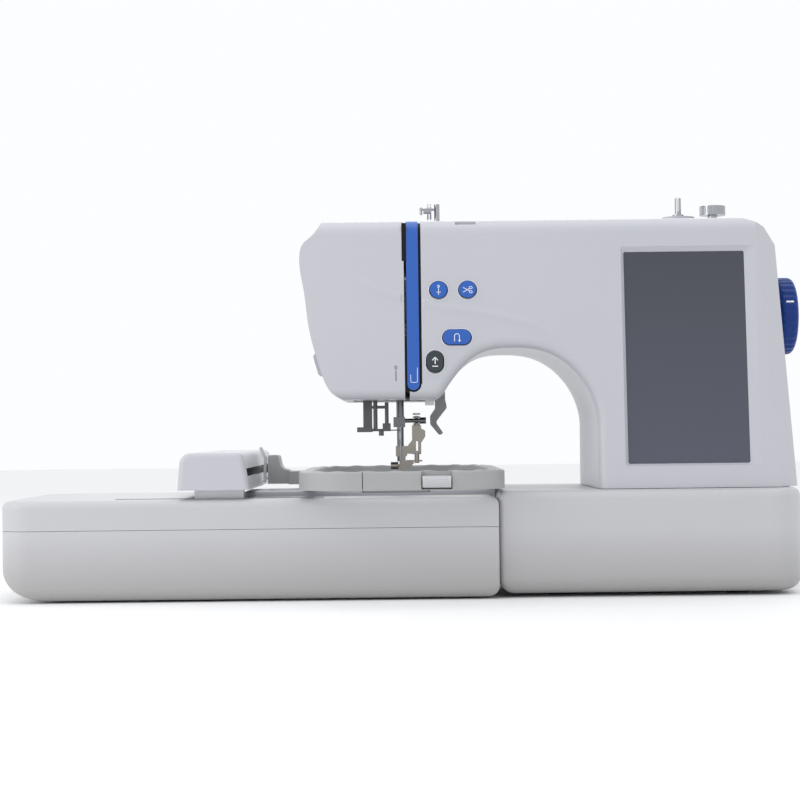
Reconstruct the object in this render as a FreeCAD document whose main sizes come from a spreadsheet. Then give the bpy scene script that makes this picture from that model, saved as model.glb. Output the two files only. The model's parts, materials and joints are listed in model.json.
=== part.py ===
import FreeCAD, Part
import math
import os

from FreeCAD import Placement, Rotation, Vector

# Embroidery machine.  X runs to the right, Y to the back and Z up, with the floor at Z = 0.
# Every sub-part is drawn about the needle axis (X = Y = 0) and then moved by the datum, so that the origin
# is the middle of the machine's footprint.

doc = FreeCAD.newDocument("embroidery_machine")
sheet = doc.addObject("Spreadsheet::Sheet", "Sizes")

DRIVING_SIZES = [
    # alias, millimetres or degrees, meaning
    ("needle_x", -5.6, "needle axis from the middle of the footprint, along X"),
    ("needle_y", -23.1, "needle axis from the middle of the footprint, along Y"),
    ("wall", 3.0, "thickness of the moulded casings"),
    ("gap", 0.4, "gap between neighbouring casings"),
    ("floor_gap", 3.0, "height of the base housing above the floor"),
    ("base_left", 74.0, "left side of the base"),
    ("base_right", 308.5, "right side of the base"),
    ("base_front", -89.0, "front of the base"),
    ("base_rear", 100.0, "rear of the base"),
    ("base_top", 82.0, "top of the base"),
    ("base_side_round", 25.0, "radius of the base's upright corners on the right"),
    ("base_edge_round", 7.0, "radius of the base's upper edges"),
    ("arm_end", -125.0, "left end of the free arm"),
    ("arm_half", 35.0, "half width of the free arm"),
    ("arm_low", 14.0, "underside of the free arm"),
    ("arm_top", 82.2, "top of the free arm"),
    ("plate_thick", 2.0, "needle plate thickness"),
    ("plate_half", 29.6, "needle plate half width"),
    ("plate_left", -44.6, "needle plate left end"),
    ("plate_right", 61.6, "needle plate right end"),
    ("casing_top", 293.5, "top of the upper casing"),
    ("casing_right", 309.0, "right side of the upper casing, at the base"),
    ("casing_rear", 75.0, "rear of the upper casing"),
    ("casing_front", -79.0, "front of the upper casing, at the base"),
    ("casing_lean", 19.0, "how far the front leans back from the base to the top rounding"),
    ("casing_seam", 26.0, "seam between the front and rear covers"),
    ("head_low", 153.0, "underside of the head"),
    ("head_left", -79.0, "leftmost point of the head"),
    ("throat_right", 152.0, "inner side of the column"),
    ("throat_top", 192.3, "underside of the arm"),
    ("channel_left", 3.6, "left side of the thread channel"),
    ("channel_right", 16.4, "right side of the thread channel"),
    ("strip_left", 5.2, "left side of the thread guide strip"),
    ("strip_right", 14.6, "right side of the thread guide strip"),
    ("strip_low", 160.0, "lower end of the thread guide strip"),
    ("screen_left", 175.0, "left side of the visible screen"),
    ("screen_right", 269.0, "right side of the visible screen"),
    ("screen_low", 101.5, "lower side of the visible screen"),
    ("screen_high", 267.5, "upper side of the visible screen"),
    ("screen_thick", 7.0, "thickness of the screen module"),
    ("button_r", 6.7, "radius of the round buttons"),
    ("button_proud", 1.4, "how far the buttons stand out of the cover"),
    ("button_depth", 6.0, "length of a button inside the cover"),
    ("button_gap", 0.5, "gap around a button"),
    ("shaft_y", 10.0, "main shaft from the needle axis, backwards"),
    ("shaft_z", 219.0, "main shaft above the floor"),
    ("shaft_r", 5.0, "main shaft radius"),
    ("lower_shaft_z", 46.0, "lower shaft above the floor"),
    ("lower_shaft_r", 4.0, "lower shaft radius"),
    ("running", 0.05, "radial clearance of a running fit"),
    ("wheel_r", 31.5, "handwheel radius"),
    ("wheel_left", 305.0, "inner face of the handwheel"),
    ("wheel_thick", 16.0, "handwheel thickness"),
    ("hook_y", -14.5, "hook axis from the needle axis"),
    ("hook_r", 16.4, "rotary hook outer radius"),
    ("hook_top", 76.0, "top of the rotary hook"),
    ("case_r", 13.5, "bobbin case radius"),
    ("bobbin_r", 10.2, "bobbin radius"),
    ("bobbin_tall", 11.5, "bobbin height"),
    ("bar_r", 3.1, "needle bar radius"),
    ("bar_x", -0.7, "needle bar from the needle axis"),
    ("bar_low", 134.0, "lower end of the needle bar"),
    ("bar_tall", 146.0, "needle bar length"),
    ("presser_y", 13.0, "presser bar behind the needle axis"),
    ("presser_r", 2.8, "presser bar radius"),
    ("presser_low", 104.0, "lower end of the presser bar"),
    ("presser_tall", 126.0, "presser bar length"),
    ("frame_front", 31.0, "front of the frame casting's upper plate"),
    ("frame_thick", 10.0, "thickness of the frame casting"),
    ("unit_left", -308.0, "left end of the embroidery unit"),
    ("unit_front", -95.0, "front of the embroidery unit"),
    ("unit_rear", 105.0, "rear of the unit's left block"),
    ("unit_low", 1.5, "underside of the embroidery unit"),
    ("unit_top", 78.0, "top of the embroidery unit"),
    ("unit_parting", 55.0, "parting line of the unit's cases"),
    ("unit_wall", 2.5, "thickness of the unit's cases"),
    ("unit_inner", -127.0, "side of the left block that faces the free arm"),
    ("unit_bar_rear", -38.0, "rear of the bar in front of the free arm"),
    ("carriage_left", -171.0, "left side of the carriage"),
    ("carriage_right", -116.0, "right side of the carriage"),
    ("carriage_front", -94.0, "front of the carriage"),
    ("carriage_rear", 190.0, "rear of the carriage"),
    ("carriage_low", 85.0, "underside of the carriage"),
    ("carriage_top", 113.5, "top of the carriage"),
    ("rail_r", 4.0, "radius of the unit's guide rails"),
    ("rail_z", 40.0, "height of the unit's guide rails"),
    ("hoop_half_x", 78.0, "half width of the outer hoop frame"),
    ("hoop_half_y", 140.0, "half length of the outer hoop frame"),
    ("hoop_round", 44.0, "corner radius of the outer hoop frame"),
    ("hoop_wall", 6.0, "wall of the outer hoop frame"),
    ("hoop_inner_wall", 4.6, "wall of the inner hoop frame"),
    ("hoop_low", 84.6, "underside of the hoop"),
    ("hoop_tall", 14.0, "height of the outer hoop frame"),
    ("hoop_screw_r", 4.4, "radius of the hoop's adjusting screw"),
    ("foot_r", 9.0, "rubber foot radius"),
]

for row, (alias, value, meaning) in enumerate(DRIVING_SIZES, start=1):
    sheet.set(f"A{row}", alias)
    sheet.set(f"B{row}", str(value))
    sheet.set(f"C{row}", meaning)
    sheet.setAlias(f"B{row}", alias)
doc.recompute()


def size(alias):
    """Value of one driving size."""
    return float(getattr(sheet, alias))


DATUM = Placement(Vector(size("needle_x"), size("needle_y"), 0), Rotation())
X_AXIS = Vector(1, 0, 0)
Y_AXIS = Vector(0, 1, 0)
Z_AXIS = Vector(0, 0, 1)
SUBPARTS = []

# The front of the upper casing is a plane that leans back.
# FACE maps (x, depth, height along the face) to space.
FACE_RISE = 196.0
LEAN = math.degrees(math.atan(size("casing_lean") / FACE_RISE))
FACE = Placement(Vector(0, size("casing_front"), size("base_top")), Rotation(X_AXIS, -LEAN))


# ---------------------------------------------------------------- drawing helpers

def rounded(corners):
    """Lines and tangent arcs of a closed outline whose corners are (x, y, radius)."""
    arcs = []
    ends = []
    count = len(corners)
    for index, (x, y, radius) in enumerate(corners):
        here = Vector(x, y, 0)
        before = Vector(*corners[index - 1][:2], 0) - here
        after = Vector(*corners[(index + 1) % count][:2], 0) - here
        before.normalize()
        after.normalize()
        if radius <= 0:
            ends.append((here, here))
            continue
        half = before.getAngle(after) / 2
        reach = radius / math.tan(half)
        middle = before + after
        middle.normalize()
        start = here + before * reach
        stop = here + after * reach
        arcs.append(Part.Arc(start, here + middle * (radius / math.sin(half) - radius), stop))
        ends.append((start, stop))
    lines = []
    for index in range(count):
        start = ends[index - 1][1]
        stop = ends[index][0]
        if start.distanceToPoint(stop) > 1e-6:
            lines.append(Part.LineSegment(start, stop))
    return lines + arcs


def rectangle(left, low, right, high, radius=0.0):
    """Outline of a rectangle with equal corner radii."""
    return rounded([(left, low, radius), (right, low, radius), (right, high, radius), (left, high, radius)])


def circle(x, y, radius):
    """Outline of a circle."""
    return [Part.Circle(Vector(x, y, 0), Z_AXIS, radius)]


def prism(curves, start, length, plane="XY"):
    """Solid swept from an outline: along Z from XY, along Y from XZ and along X from YZ."""
    wire = Part.Wire(Part.__sortEdges__([curve.toShape() for curve in curves]))
    face = Part.Face(wire)
    if plane == "XZ":
        face.Placement = Placement(Vector(0, start, 0), Rotation(X_AXIS, 90))
        return face.extrude(Vector(0, length, 0))
    if plane == "YZ":
        face.Placement = Placement(Vector(start, 0, 0), Rotation(Vector(1, 1, 1), 120))
        return face.extrude(Vector(length, 0, 0))
    face.Placement = Placement(Vector(0, 0, start), Rotation())
    return face.extrude(Vector(0, 0, length))


def block(x_low, x_high, y_low, y_high, z_low, z_high):
    """Box between two corners."""
    return Part.makeBox(x_high - x_low, y_high - y_low, z_high - z_low, Vector(x_low, y_low, z_low))


def rod(radius, length, start, axis=Z_AXIS):
    """Cylinder that starts at a point and runs along an axis."""
    return Part.makeCylinder(radius, length, start, axis)


def straight_edges(shape, axis, test):
    """Straight edges of a shape that run along an axis and whose middle passes the test."""
    found = []
    for edge in shape.Edges:
        if not isinstance(edge.Curve, Part.Line):
            continue
        if abs(abs(edge.Curve.Direction.dot(axis)) - 1) > 1e-6:
            continue
        if test(edge.CenterOfMass):
            found.append(edge)
    return found


# ---------------------------------------------------------------- document helpers

def keep(obj, label):
    """Label a finished object as a sub-part and move it to the machine's datum."""
    obj.Label = label
    obj.Placement = DATUM
    SUBPARTS.append(obj)
    return obj


def solid_part(label, shape):
    """Sub-part whose form is built from the driving sizes by the functions above."""
    obj = doc.addObject("Part::Feature", label)
    obj.Shape = shape
    return keep(obj, label)


def body_part(label):
    """Empty body of a sub-part made from sketches."""
    return keep(doc.addObject("PartDesign::Body", label), label)


def sketch_on(body, plane, curves, offset):
    """Sketch on one of the body's own origin planes, moved along its normal by an expression."""
    support = next(item for item in body.Origin.OriginFeatures if item.Role == plane)
    sketch = body.newObject("Sketcher::SketchObject", body.Label + "_outline")
    sketch.AttachmentSupport = [(support, "")]
    sketch.MapMode = "FlatFace"
    sketch.setExpression("AttachmentOffset.Base.z", offset)
    for curve in curves:
        sketch.addGeometry(curve, False)
    return sketch


def pad(body, plane, curves, offset, length):
    """Pad an outline along the normal of the plane."""
    feature = body.newObject("PartDesign::Pad", body.Label + "_pad")
    feature.Profile = sketch_on(body, plane, curves, offset)
    feature.setExpression("Length", length)
    return feature


def pocket(body, plane, curves, offset, length):
    """Cut an outline against the normal of the plane, and check that it removed material."""
    doc.recompute()
    before = body.Shape.Volume
    feature = body.newObject("PartDesign::Pocket", body.Label + "_pocket")
    feature.Profile = sketch_on(body, plane, curves, offset)
    feature.setExpression("Length", length)
    doc.recompute()
    if body.Shape.Volume > before - 1e-3:
        raise ValueError(body.Label + ": a pocket cut nothing")
    return feature


def cylinder(radius, height, start, axis=Z_AXIS):
    """Cylinder primitive whose radius and height are expressions."""
    obj = doc.addObject("Part::Cylinder", "Cylinder")
    obj.setExpression("Radius", radius)
    obj.setExpression("Height", height)
    obj.Placement = Placement(start, Rotation(Z_AXIS, axis))
    return obj


def box(length, width, height, corner):
    """Box primitive whose sizes are expressions."""
    obj = doc.addObject("Part::Box", "Box")
    obj.setExpression("Length", length)
    obj.setExpression("Width", width)
    obj.setExpression("Height", height)
    obj.Placement = Placement(corner, Rotation())
    return obj


def fused(label, pieces):
    """Sub-part joined from primitives."""
    obj = doc.addObject("Part::MultiFuse", label)
    obj.Shapes = pieces
    obj.Refine = True
    return keep(obj, label)


def grouped(label, pieces):
    """Sub-part that is a group of separate solids."""
    obj = doc.addObject("Part::Compound", label)
    obj.Links = pieces
    return keep(obj, label)


# ---------------------------------------------------------------- upper casing

def head_outline(inset):
    """Front outline of the upper casing, moved inwards by an inset."""
    left_side = Part.BSplineCurve()
    left_side.interpolate([
        Vector(-44, 153.2, 0), Vector(-53, 158, 0), Vector(-62, 176, 0), Vector(-71.5, 213, 0),
        Vector(-74.6, 238, 0), Vector(-78, 266, 0), Vector(-75.5, 275, 0), Vector(-68.5, 281.5, 0),
        Vector(-64, 287, 0), Vector(-61, size("casing_top"), 0),
    ])
    arch = Part.BSplineCurve()
    arch.interpolate([
        Vector(size("throat_right"), 134, 0), Vector(149, 150, 0), Vector(138, 170, 0), Vector(113, 188.6, 0),
        Vector(88, size("throat_top"), 0), Vector(63, 188.5, 0), Vector(46, 175, 0), Vector(33, 157, 0),
    ])
    points = [
        Vector(-61, size("casing_top"), 0), Vector(268, size("casing_top"), 0), Vector(287, 286, 0),
        Vector(298, 273, 0), Vector(size("casing_right"), size("base_top"), 0),
        Vector(size("throat_right"), size("base_top"), 0), Vector(size("throat_right"), 134, 0),
    ]
    edges = [left_side.toShape()]
    for start, stop in zip(points, points[1:]):
        edges.append(Part.LineSegment(start, stop).toShape())
    edges.append(arch.toShape())
    edges.append(Part.LineSegment(Vector(33, 157, 0), Vector(28, size("head_low"), 0)).toShape())
    edges.append(Part.LineSegment(Vector(28, size("head_low"), 0), Vector(-44, 153.2, 0)).toShape())
    wire = Part.Wire(Part.__sortEdges__(edges))
    if inset:
        wire = smooth_wire(wire.makeOffset2D(-inset))
    return wire


def smooth_wire(wire):
    """The same wire with every curved edge as one smooth spline."""
    edges = []
    for edge in wire.Edges:
        if not isinstance(edge.Curve, Part.Line):
            curve = Part.BSplineCurve()
            curve.interpolate(edge.discretize(14))
            edge = curve.toShape()
        edges.append(edge)
    return Part.Wire(Part.__sortEdges__(edges))


def side_outline(inset):
    """Side outline of the upper casing as (Y, Z), moved inwards by an inset."""
    low = size("base_top") - 20
    lean = size("casing_lean") / FACE_RISE
    front_low = size("casing_front") - lean * 20
    front_high = size("casing_front") + lean * (size("casing_top") - size("base_top"))
    curves = rounded([
        (front_low, low, 0), (size("casing_rear"), low, 0),
        (size("casing_rear") - 3, size("casing_top"), 16), (front_high, size("casing_top"), 13),
    ])
    wire = Part.Wire(Part.__sortEdges__([curve.toShape() for curve in curves]))
    if inset:
        wire = wire.makeOffset2D(-inset)
    return wire


def casing_form(inset):
    """Solid form of the upper casing, moved inwards by an inset: front outline and side outline together."""
    front = Part.Face(head_outline(inset))
    front.Placement = Placement(Vector(0, 130, 0), Rotation(X_AXIS, 90))
    side = Part.Face(side_outline(inset))
    side.Placement = Placement(Vector(-130, 0, 0), Rotation(Vector(1, 1, 1), 120))
    form = front.extrude(Vector(0, -260, 0)).common(side.extrude(Vector(500, 0, 0)))
    # The column's right front corner is a wide bevel, a little wider at the foot.
    low = size("base_top") - 30
    high = size("casing_top") + 30
    bevels = []
    for height, front_x, front_y in ((low, 292, -82), (high, 274, -58)):
        bevels.append(Part.makePolygon([
            Vector(front_x - inset, front_y, height), Vector(front_x - inset + 40, front_y + 52, height),
            Vector(front_x + 90, front_y + 52, height), Vector(front_x + 90, front_y - 60, height),
            Vector(front_x - inset, front_y - 60, height), Vector(front_x - inset, front_y, height),
        ]))
    form = form.cut(Part.makeLoft(bevels, True, True))
    return round_front(form, inset)


def round_front(form, inset):
    """Round the front edge of the arch, of the column's inner side and of the head's underside."""
    lean = size("casing_lean") / FACE_RISE
    front = size("casing_front") + inset
    chosen = []
    for edge in form.Edges:
        middle = edge.CenterOfMass
        points = [vertex.Point for vertex in edge.Vertexes]
        points.append(edge.valueAt((edge.FirstParameter + edge.LastParameter) / 2))
        distances = [abs(p.y - front - lean * (p.z - size("base_top"))) for p in points]
        inside = size("base_top") + inset + 1 < middle.z < 270 and -40 < middle.x < 160
        if max(distances) < 0.3 and inside:
            chosen.append(edge)
    return form.makeFillet(7 - inset, chosen)


def window(left, low, right, high, radius, depth_from, depth_to, flare=(0, 0, 0, 0)):
    """Prism through the leaning front; flare widens its outer end to the left, below, right and above."""
    foot = size("base_top")
    outlines = []
    for depth, grow in ((depth_from, flare), (depth_to, (0, 0, 0, 0))):
        curves = rectangle(left - grow[0], low - foot - grow[1],
                           right + grow[2], high - foot + grow[3], radius)
        wire = Part.Wire(Part.__sortEdges__([curve.toShape() for curve in curves]))
        wire.Placement = FACE * Placement(Vector(0, depth, 0), Rotation(X_AXIS, 90))
        outlines.append(wire)
    return Part.makeLoft(outlines, True, True)


# Buttons as (label, x, z, half width, half height); a round button has equal halves.
BUTTONS = [
    ("needle_position_button", 30.2, 238.8, size("button_r"), size("button_r")),
    ("thread_cutter_button", 52.8, 238.8, size("button_r"), size("button_r")),
    ("reverse_button", 44.0, 201.4, 10.9, 5.9),
    ("start_stop_button", 26.8, 182.5, 6.4, 8.4),
]


def make_upper_casing():
    """Front cover, face cover, rear cover, black thread channel and its strip."""
    wall = size("wall")
    gap = size("gap")
    seam = size("casing_seam")
    outer = casing_form(0)
    inner = casing_form(wall)
    shell = outer.cut(inner)
    throat = size("throat_right")
    base_top = size("base_top")
    # open foot of the column, and the opening in the underside of the head
    shell = shell.cut(block(throat + 5, 284, -70, 68, base_top - 25, base_top + wall + 1))
    shell = shell.cut(block(throat + 5, 300, -45, 68, base_top - 25, base_top + wall + 1))
    shell = shell.cut(block(-500, 500, -500, 500, -10, base_top + gap))
    shell = shell.cut(block(-38, 27, -26, 24, 140, size("head_low") + wall + 4))
    shell = shell.cut(block(12, 44, 23.5, 31.5, 140, 186))
    # shaft hole for the handwheel, holes for the winder and the thread guide
    shell = shell.cut(rod(9, 40, Vector(285, size("shaft_y"), size("shaft_z")), X_AXIS))
    shell = shell.cut(rod(8, 30, Vector(227, 0, 270)))
    shell = shell.cut(rod(3.3, 30, Vector(255, 0, 270)))
    shell = shell.cut(rod(2.4, 30, Vector(31, 0, 270)))
    shell = shell.cut(block(44, 60, -56, -52, 280, 300))
    shell = shell.cut(window(size("screen_left"), size("screen_low"), size("screen_right"),
                             size("screen_high"), 1.5, -0.01, wall + 0.01, (2.5, 2, 8, 4)))
    for label, x, z, half_x, half_z in BUTTONS:
        play = size("button_gap")
        shell = shell.cut(window(x - half_x - play, z - half_z - play, x + half_x + play, z + half_z + play,
                                 min(half_x, half_z) + play, -8, wall + 12))
    channel_left = size("channel_left")
    channel_right = size("channel_right")
    rear_half = block(-500, 500, seam + gap / 2, 500, 0, 500)
    front_half = block(-500, 500, -500, seam - gap / 2, 0, 500)
    solid_part("rear_cover", shell.common(rear_half))
    front = shell.common(front_half)
    strip_half = (size("strip_right") - size("strip_left")) / 2
    strip_middle = (size("strip_right") + size("strip_left")) / 2
    low_end = size("strip_low") + strip_half
    # below the strip a tongue of the front cover leaves only a narrow slot for the thread
    tongue = block(channel_left + 3.4, channel_right + 1, -500, 500, 0, low_end)
    tongue = tongue.cut(rod(strip_half + 1.5, 300, Vector(strip_middle, -150, low_end), Y_AXIS))
    right_side = block(channel_right + 0.3, 500, -500, 500, 0, 500).fuse(tongue)
    left_side = block(-500, channel_left - 0.3, -500, 500, 0, 500)
    solid_part("front_cover", front.common(right_side))
    cutter = block(-75, -58, -24, -2, 173, 192)
    solid_part("face_cover", front.common(left_side).cut(cutter))

    # The black channel sits a little behind the surface; the strip fills its middle and is flush.
    band = casing_form(1.4).cut(casing_form(5.0)).common(front_half)
    band = band.common(block(channel_left, channel_right, -500, 500, size("head_low") + 5.5, 500))
    lever_slot = block(channel_left - 1, size("strip_left") - 0.1, -500, -30, 200, 280)
    solid_part("thread_channel", band.cut(lever_slot).cut(tongue))
    strip = casing_form(0).cut(casing_form(1.4))
    outline = block(size("strip_left"), size("strip_right"), -500, -8, low_end, 500)
    outline = outline.fuse(rod(strip_half, 100, Vector(strip_middle, -150, low_end), Y_AXIS))
    solid_part("thread_guide_strip", strip.common(outline))


def make_screen():
    """Touch screen with its display module, held behind the window of the front cover."""
    inner = size("wall") + 0.1
    edge = 3.0
    shape = window(size("screen_left") - edge, size("screen_low") - edge, size("screen_right") + edge,
                   size("screen_high") + edge, 2.0, inner, inner + size("screen_thick"))
    solid_part("lcd_touch_panel", shape)


def make_buttons():
    """Cap and inner flange of each push button."""
    wall = size("wall")
    proud = size("button_proud")
    for label, x, z, half_x, half_z in BUTTONS:
        flange = 1.4
        cap = window(x - half_x, z - half_z, x + half_x, z + half_z, min(half_x, half_z),
                     -proud, size("button_depth"))
        outer_edges = [edge for edge in cap.Edges
                       if abs(FACE.inverse().multVec(edge.CenterOfMass).y + proud) < 1e-3]
        cap = cap.makeFillet(0.7, outer_edges)
        base = window(x - half_x - flange, z - half_z - flange, x + half_x + flange, z + half_z + flange,
                      min(half_x, half_z) + flange, wall + 1.0, wall + 2.4)
        solid_part(label, cap.fuse(base))


# ---------------------------------------------------------------- base and free arm

def make_base():
    """Base housing, its bottom plate, the rubber feet and the screws that hold the plate."""
    wall = size("wall")
    low = size("floor_gap")
    side = size("base_side_round")

    def form(inset):
        outline = rounded([
            (size("base_left") + inset, size("base_front") + inset, max(4 - inset, 1)),
            (size("base_right") - inset, size("base_front") + inset, side - inset),
            (size("base_right") - inset, size("base_rear") - inset, side - inset),
            (size("base_left") + inset, size("base_rear") - inset, max(4 - inset, 1)),
        ])
        solid = prism(outline, low + inset, size("base_top") - low - 2 * inset)
        top = [edge for edge in solid.Edges if edge.BoundBox.ZMin > size("base_top") - inset - 0.01]
        foot = [edge for edge in solid.Edges if edge.BoundBox.ZMax < low + inset + 0.01
                and edge.CenterOfMass.x > size("base_left") + inset + 1]
        solid = solid.makeFillet(size("base_edge_round") - inset, top)
        return solid.makeFillet(12 - inset, foot)

    shell = form(0).cut(form(wall))
    shell = shell.cut(block(100, 284, -66, 78, -5, low + wall + 1))
    shell = shell.cut(block(172, 299, -40, 44, 70, 90))
    shell = shell.cut(block(70, 80, -28, 31, 18, 74))
    shell = shell.cut(block(300, 312, 30, 58, 24, 45))
    shell = shell.cut(block(300, 312, -2, 14, 26.8, 44.2))
    shell = shell.cut(block(300, 312, -52, -38, 50, 57))
    solid_part("base_housing", shell)

    plate = body_part("bottom_plate")
    pad(plate, "XY_Plane", rectangle(100.5, -65.5, 283.5, 77.5, 3), "Sizes.floor_gap", "Sizes.wall")
    holes = []
    for x in (108, 276):
        for y in (-57, 69):
            holes += circle(x, y, 2.1)
    pocket(plate, "XY_Plane", holes, "Sizes.floor_gap + Sizes.wall", "Sizes.wall")

    feet = []
    for x in (122, 262):
        for y in (-52, 64):
            feet.append(cylinder("Sizes.foot_r", "Sizes.floor_gap", Vector(x, y, 0)))
    feet.append(cylinder("Sizes.foot_r", "Sizes.arm_low", Vector(-104, 0, 0)))
    grouped("rubber_feet", feet)

    screws = []
    for x in (108, 276):
        for y in (-57, 69):
            head = cylinder("3.6", "1.6", Vector(x, y, low - 1.6))
            shank = cylinder("2.0", "9", Vector(x, y, low - 0.8))
            screw = doc.addObject("Part::MultiFuse", "Screw")
            screw.Shapes = [head, shank]
            screws.append(screw)
    grouped("bottom_screws", screws)


def make_free_arm():
    """Free arm casing, needle plate and the sliding bobbin cover."""
    wall = size("wall")
    half = size("arm_half")
    left = size("arm_end")
    low = size("arm_low")
    top = size("arm_top")
    right = size("base_left") - 0.3

    def form(inset):
        outline = rounded([(left + inset, -half + inset, 12 - inset), (right + inset, -half + inset, 0),
                           (right + inset, half - inset, 0), (left + inset, half - inset, 12 - inset)])
        return prism(outline, low + inset, top - low - 2 * inset)

    outer = form(0)
    soft = [edge for edge in outer.Edges if edge.BoundBox.ZMin > top - 0.01
            and edge.CenterOfMass.x < right - 1]
    outer = outer.makeFillet(1.8, soft)
    shell = outer.cut(form(wall))
    thick = size("plate_thick")
    plate_half = size("plate_half")
    recess = block(size("plate_left") - 0.3, size("plate_right") + 0.3, -plate_half - 0.3, plate_half + 0.3,
                   top - thick - 0.2, top + 5)
    shell = shell.cut(recess)
    shell = shell.cut(block(-31.3, 22.3, -half - 1, -20, top - thick - 0.2, top + 5))
    shell = shell.cut(block(size("plate_left") + 5, size("plate_right") - 5, -25, 25, top - 6, top))
    solid_part("free_arm_housing", shell)

    plate = body_part("needle_plate")
    pad(plate, "XY_Plane", rectangle(size("plate_left"), -plate_half, size("plate_right"), plate_half, 3),
        "Sizes.arm_top - Sizes.plate_thick", "Sizes.plate_thick")
    openings = rectangle(-31, -plate_half - 5, 22, -6.5)
    pocket(plate, "XY_Plane", openings, "Sizes.arm_top", "Sizes.plate_thick")
    slots = rectangle(-4.2, -1.6, 3.2, 1.6, 1.5)
    for x in (-10.5, 7.5):
        slots += rectangle(x, -5.5, x + 3, 15)
    slots += rectangle(-3, 5, 2, 15)
    pocket(plate, "XY_Plane", slots, "Sizes.arm_top", "Sizes.plate_thick")

    cover = body_part("bobbin_cover")
    pad(cover, "XY_Plane", rectangle(-30.6, -half + 0.5, 21.6, -6.9, 1.0),
        "Sizes.arm_top - Sizes.plate_thick", "Sizes.plate_thick")
    pocket(cover, "XY_Plane", rectangle(-9, -half + 4, 0, -half + 6.2, 1.0), "Sizes.arm_top", "1.2")


# ---------------------------------------------------------------- frame, shafts and drives

def make_frame():
    """Cast frame: bed, column, arm and head in one piece, with lugs for the shafts and bars."""
    thick = size("frame_thick")
    front = size("frame_front")
    shaft_y = size("shaft_y")
    shaft_z = size("shaft_z")
    run = size("running")
    frame = block(-95, 284, 18, 29, 20, 56)
    frame = frame.fuse(block(184, 214, 18, front + thick, 20, 240))
    frame = frame.fuse(block(-34, 284, front, front + thick, 199, 258))
    frame = frame.fuse(block(-34, 30, front, front + thick, 162, 200))
    lugs = [block(40, 52, -2, front, shaft_z - 10, shaft_z + 10),
            block(262, 274, -2, front, shaft_z - 10, shaft_z + 10),
            block(-9, 7, -7, front, 162, 172), block(-9, 7, -7, front, 246, 256),
            block(-62, -52, -8, 20, 38, 54), block(58, 68, -8, 20, 38, 54),
            block(236, 248, -8, 20, 38, 54),
            block(218, 236, -8, front, 262, 274)]
    for lug in lugs:
        frame = frame.fuse(lug)
    frame = frame.fuse(block(218, 236, front - 1, front + thick, 250, 274))
    frame = frame.cut(rod(size("shaft_r") + run, 260, Vector(30, shaft_y, shaft_z), X_AXIS))
    frame = frame.cut(rod(size("lower_shaft_r") + run, 330, Vector(-70, 0, size("lower_shaft_z")), X_AXIS))
    frame = frame.cut(rod(size("bar_r") + run, 110, Vector(size("bar_x"), 0, 155)))
    frame = frame.cut(rod(size("presser_r") + run, 110, Vector(size("bar_x"), size("presser_y"), 155)))
    frame = frame.cut(rod(2.4 + run, 30, Vector(227, 0, 255)))
    solid_part("frame_casting", frame)


def make_drive():
    """Handwheel, main shaft with its crank, lower shaft with its gear, motor, pulleys and belts."""
    shaft_y = size("shaft_y")
    shaft_z = size("shaft_z")
    lower_z = size("lower_shaft_z")
    wheel_left = size("wheel_left")
    wheel_thick = size("wheel_thick")
    radius = size("wheel_r")
    rim = rounded([(0, wheel_left, 0), (radius, wheel_left, 2), (radius, wheel_left + wheel_thick - 3, 4),
                   (radius - 9, wheel_left + wheel_thick, 5), (0, wheel_left + wheel_thick, 0)])
    wire = Part.Wire(Part.__sortEdges__([curve.toShape() for curve in rim]))
    profile = Part.Face(wire)
    wheel = profile.revolve(Vector(0, 0, 0), Vector(0, 1, 0), 360)
    wheel.Placement = Placement(Vector(0, shaft_y, shaft_z), Rotation(Z_AXIS, -90))
    socket = rod(size("shaft_r"), 12, Vector(wheel_left - 1, shaft_y, shaft_z), X_AXIS)
    wheel = wheel.cut(socket)
    for turn in range(30):
        angle = math.radians(turn * 12)
        notch = rod(1.1, wheel_thick - 7, Vector(wheel_left + 1, shaft_y + (radius + 0.5) * math.cos(angle),
                                                 shaft_z + (radius + 0.5) * math.sin(angle)), X_AXIS)
        wheel = wheel.cut(notch)
    solid_part("handwheel", wheel)

    pulley_x = 290.0
    grouped_shaft = [
        cylinder("Sizes.shaft_r", "Sizes.wheel_left + 10 - 12", Vector(12, shaft_y, shaft_z), X_AXIS),
        cylinder("17", "6", Vector(12, shaft_y, shaft_z), X_AXIS),
        cylinder("15", "8", Vector(pulley_x - 4, shaft_y, shaft_z), X_AXIS),
    ]
    fused("main_shaft", grouped_shaft)
    fused("lower_shaft", [
        cylinder("Sizes.lower_shaft_r", "366", Vector(-70, 0, lower_z), X_AXIS),
        cylinder("9.2", "8", Vector(-4.7, 0, lower_z), X_AXIS),
        cylinder("13", "8", Vector(287, 0, lower_z), X_AXIS),
    ])
    fused("main_motor", [
        cylinder("22", "56", Vector(196, -36, 112), X_AXIS),
        box("8", "44", "54", Vector(188, -58, 90)),
        cylinder("7", "8", Vector(252, -36, 112), X_AXIS),
    ])
    fused("motor_pulley", [
        cylinder("6", "8", Vector(286, -36, 112), X_AXIS),
        cylinder("3", "26", Vector(260.2, -36, 112), X_AXIS),
    ])


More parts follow.
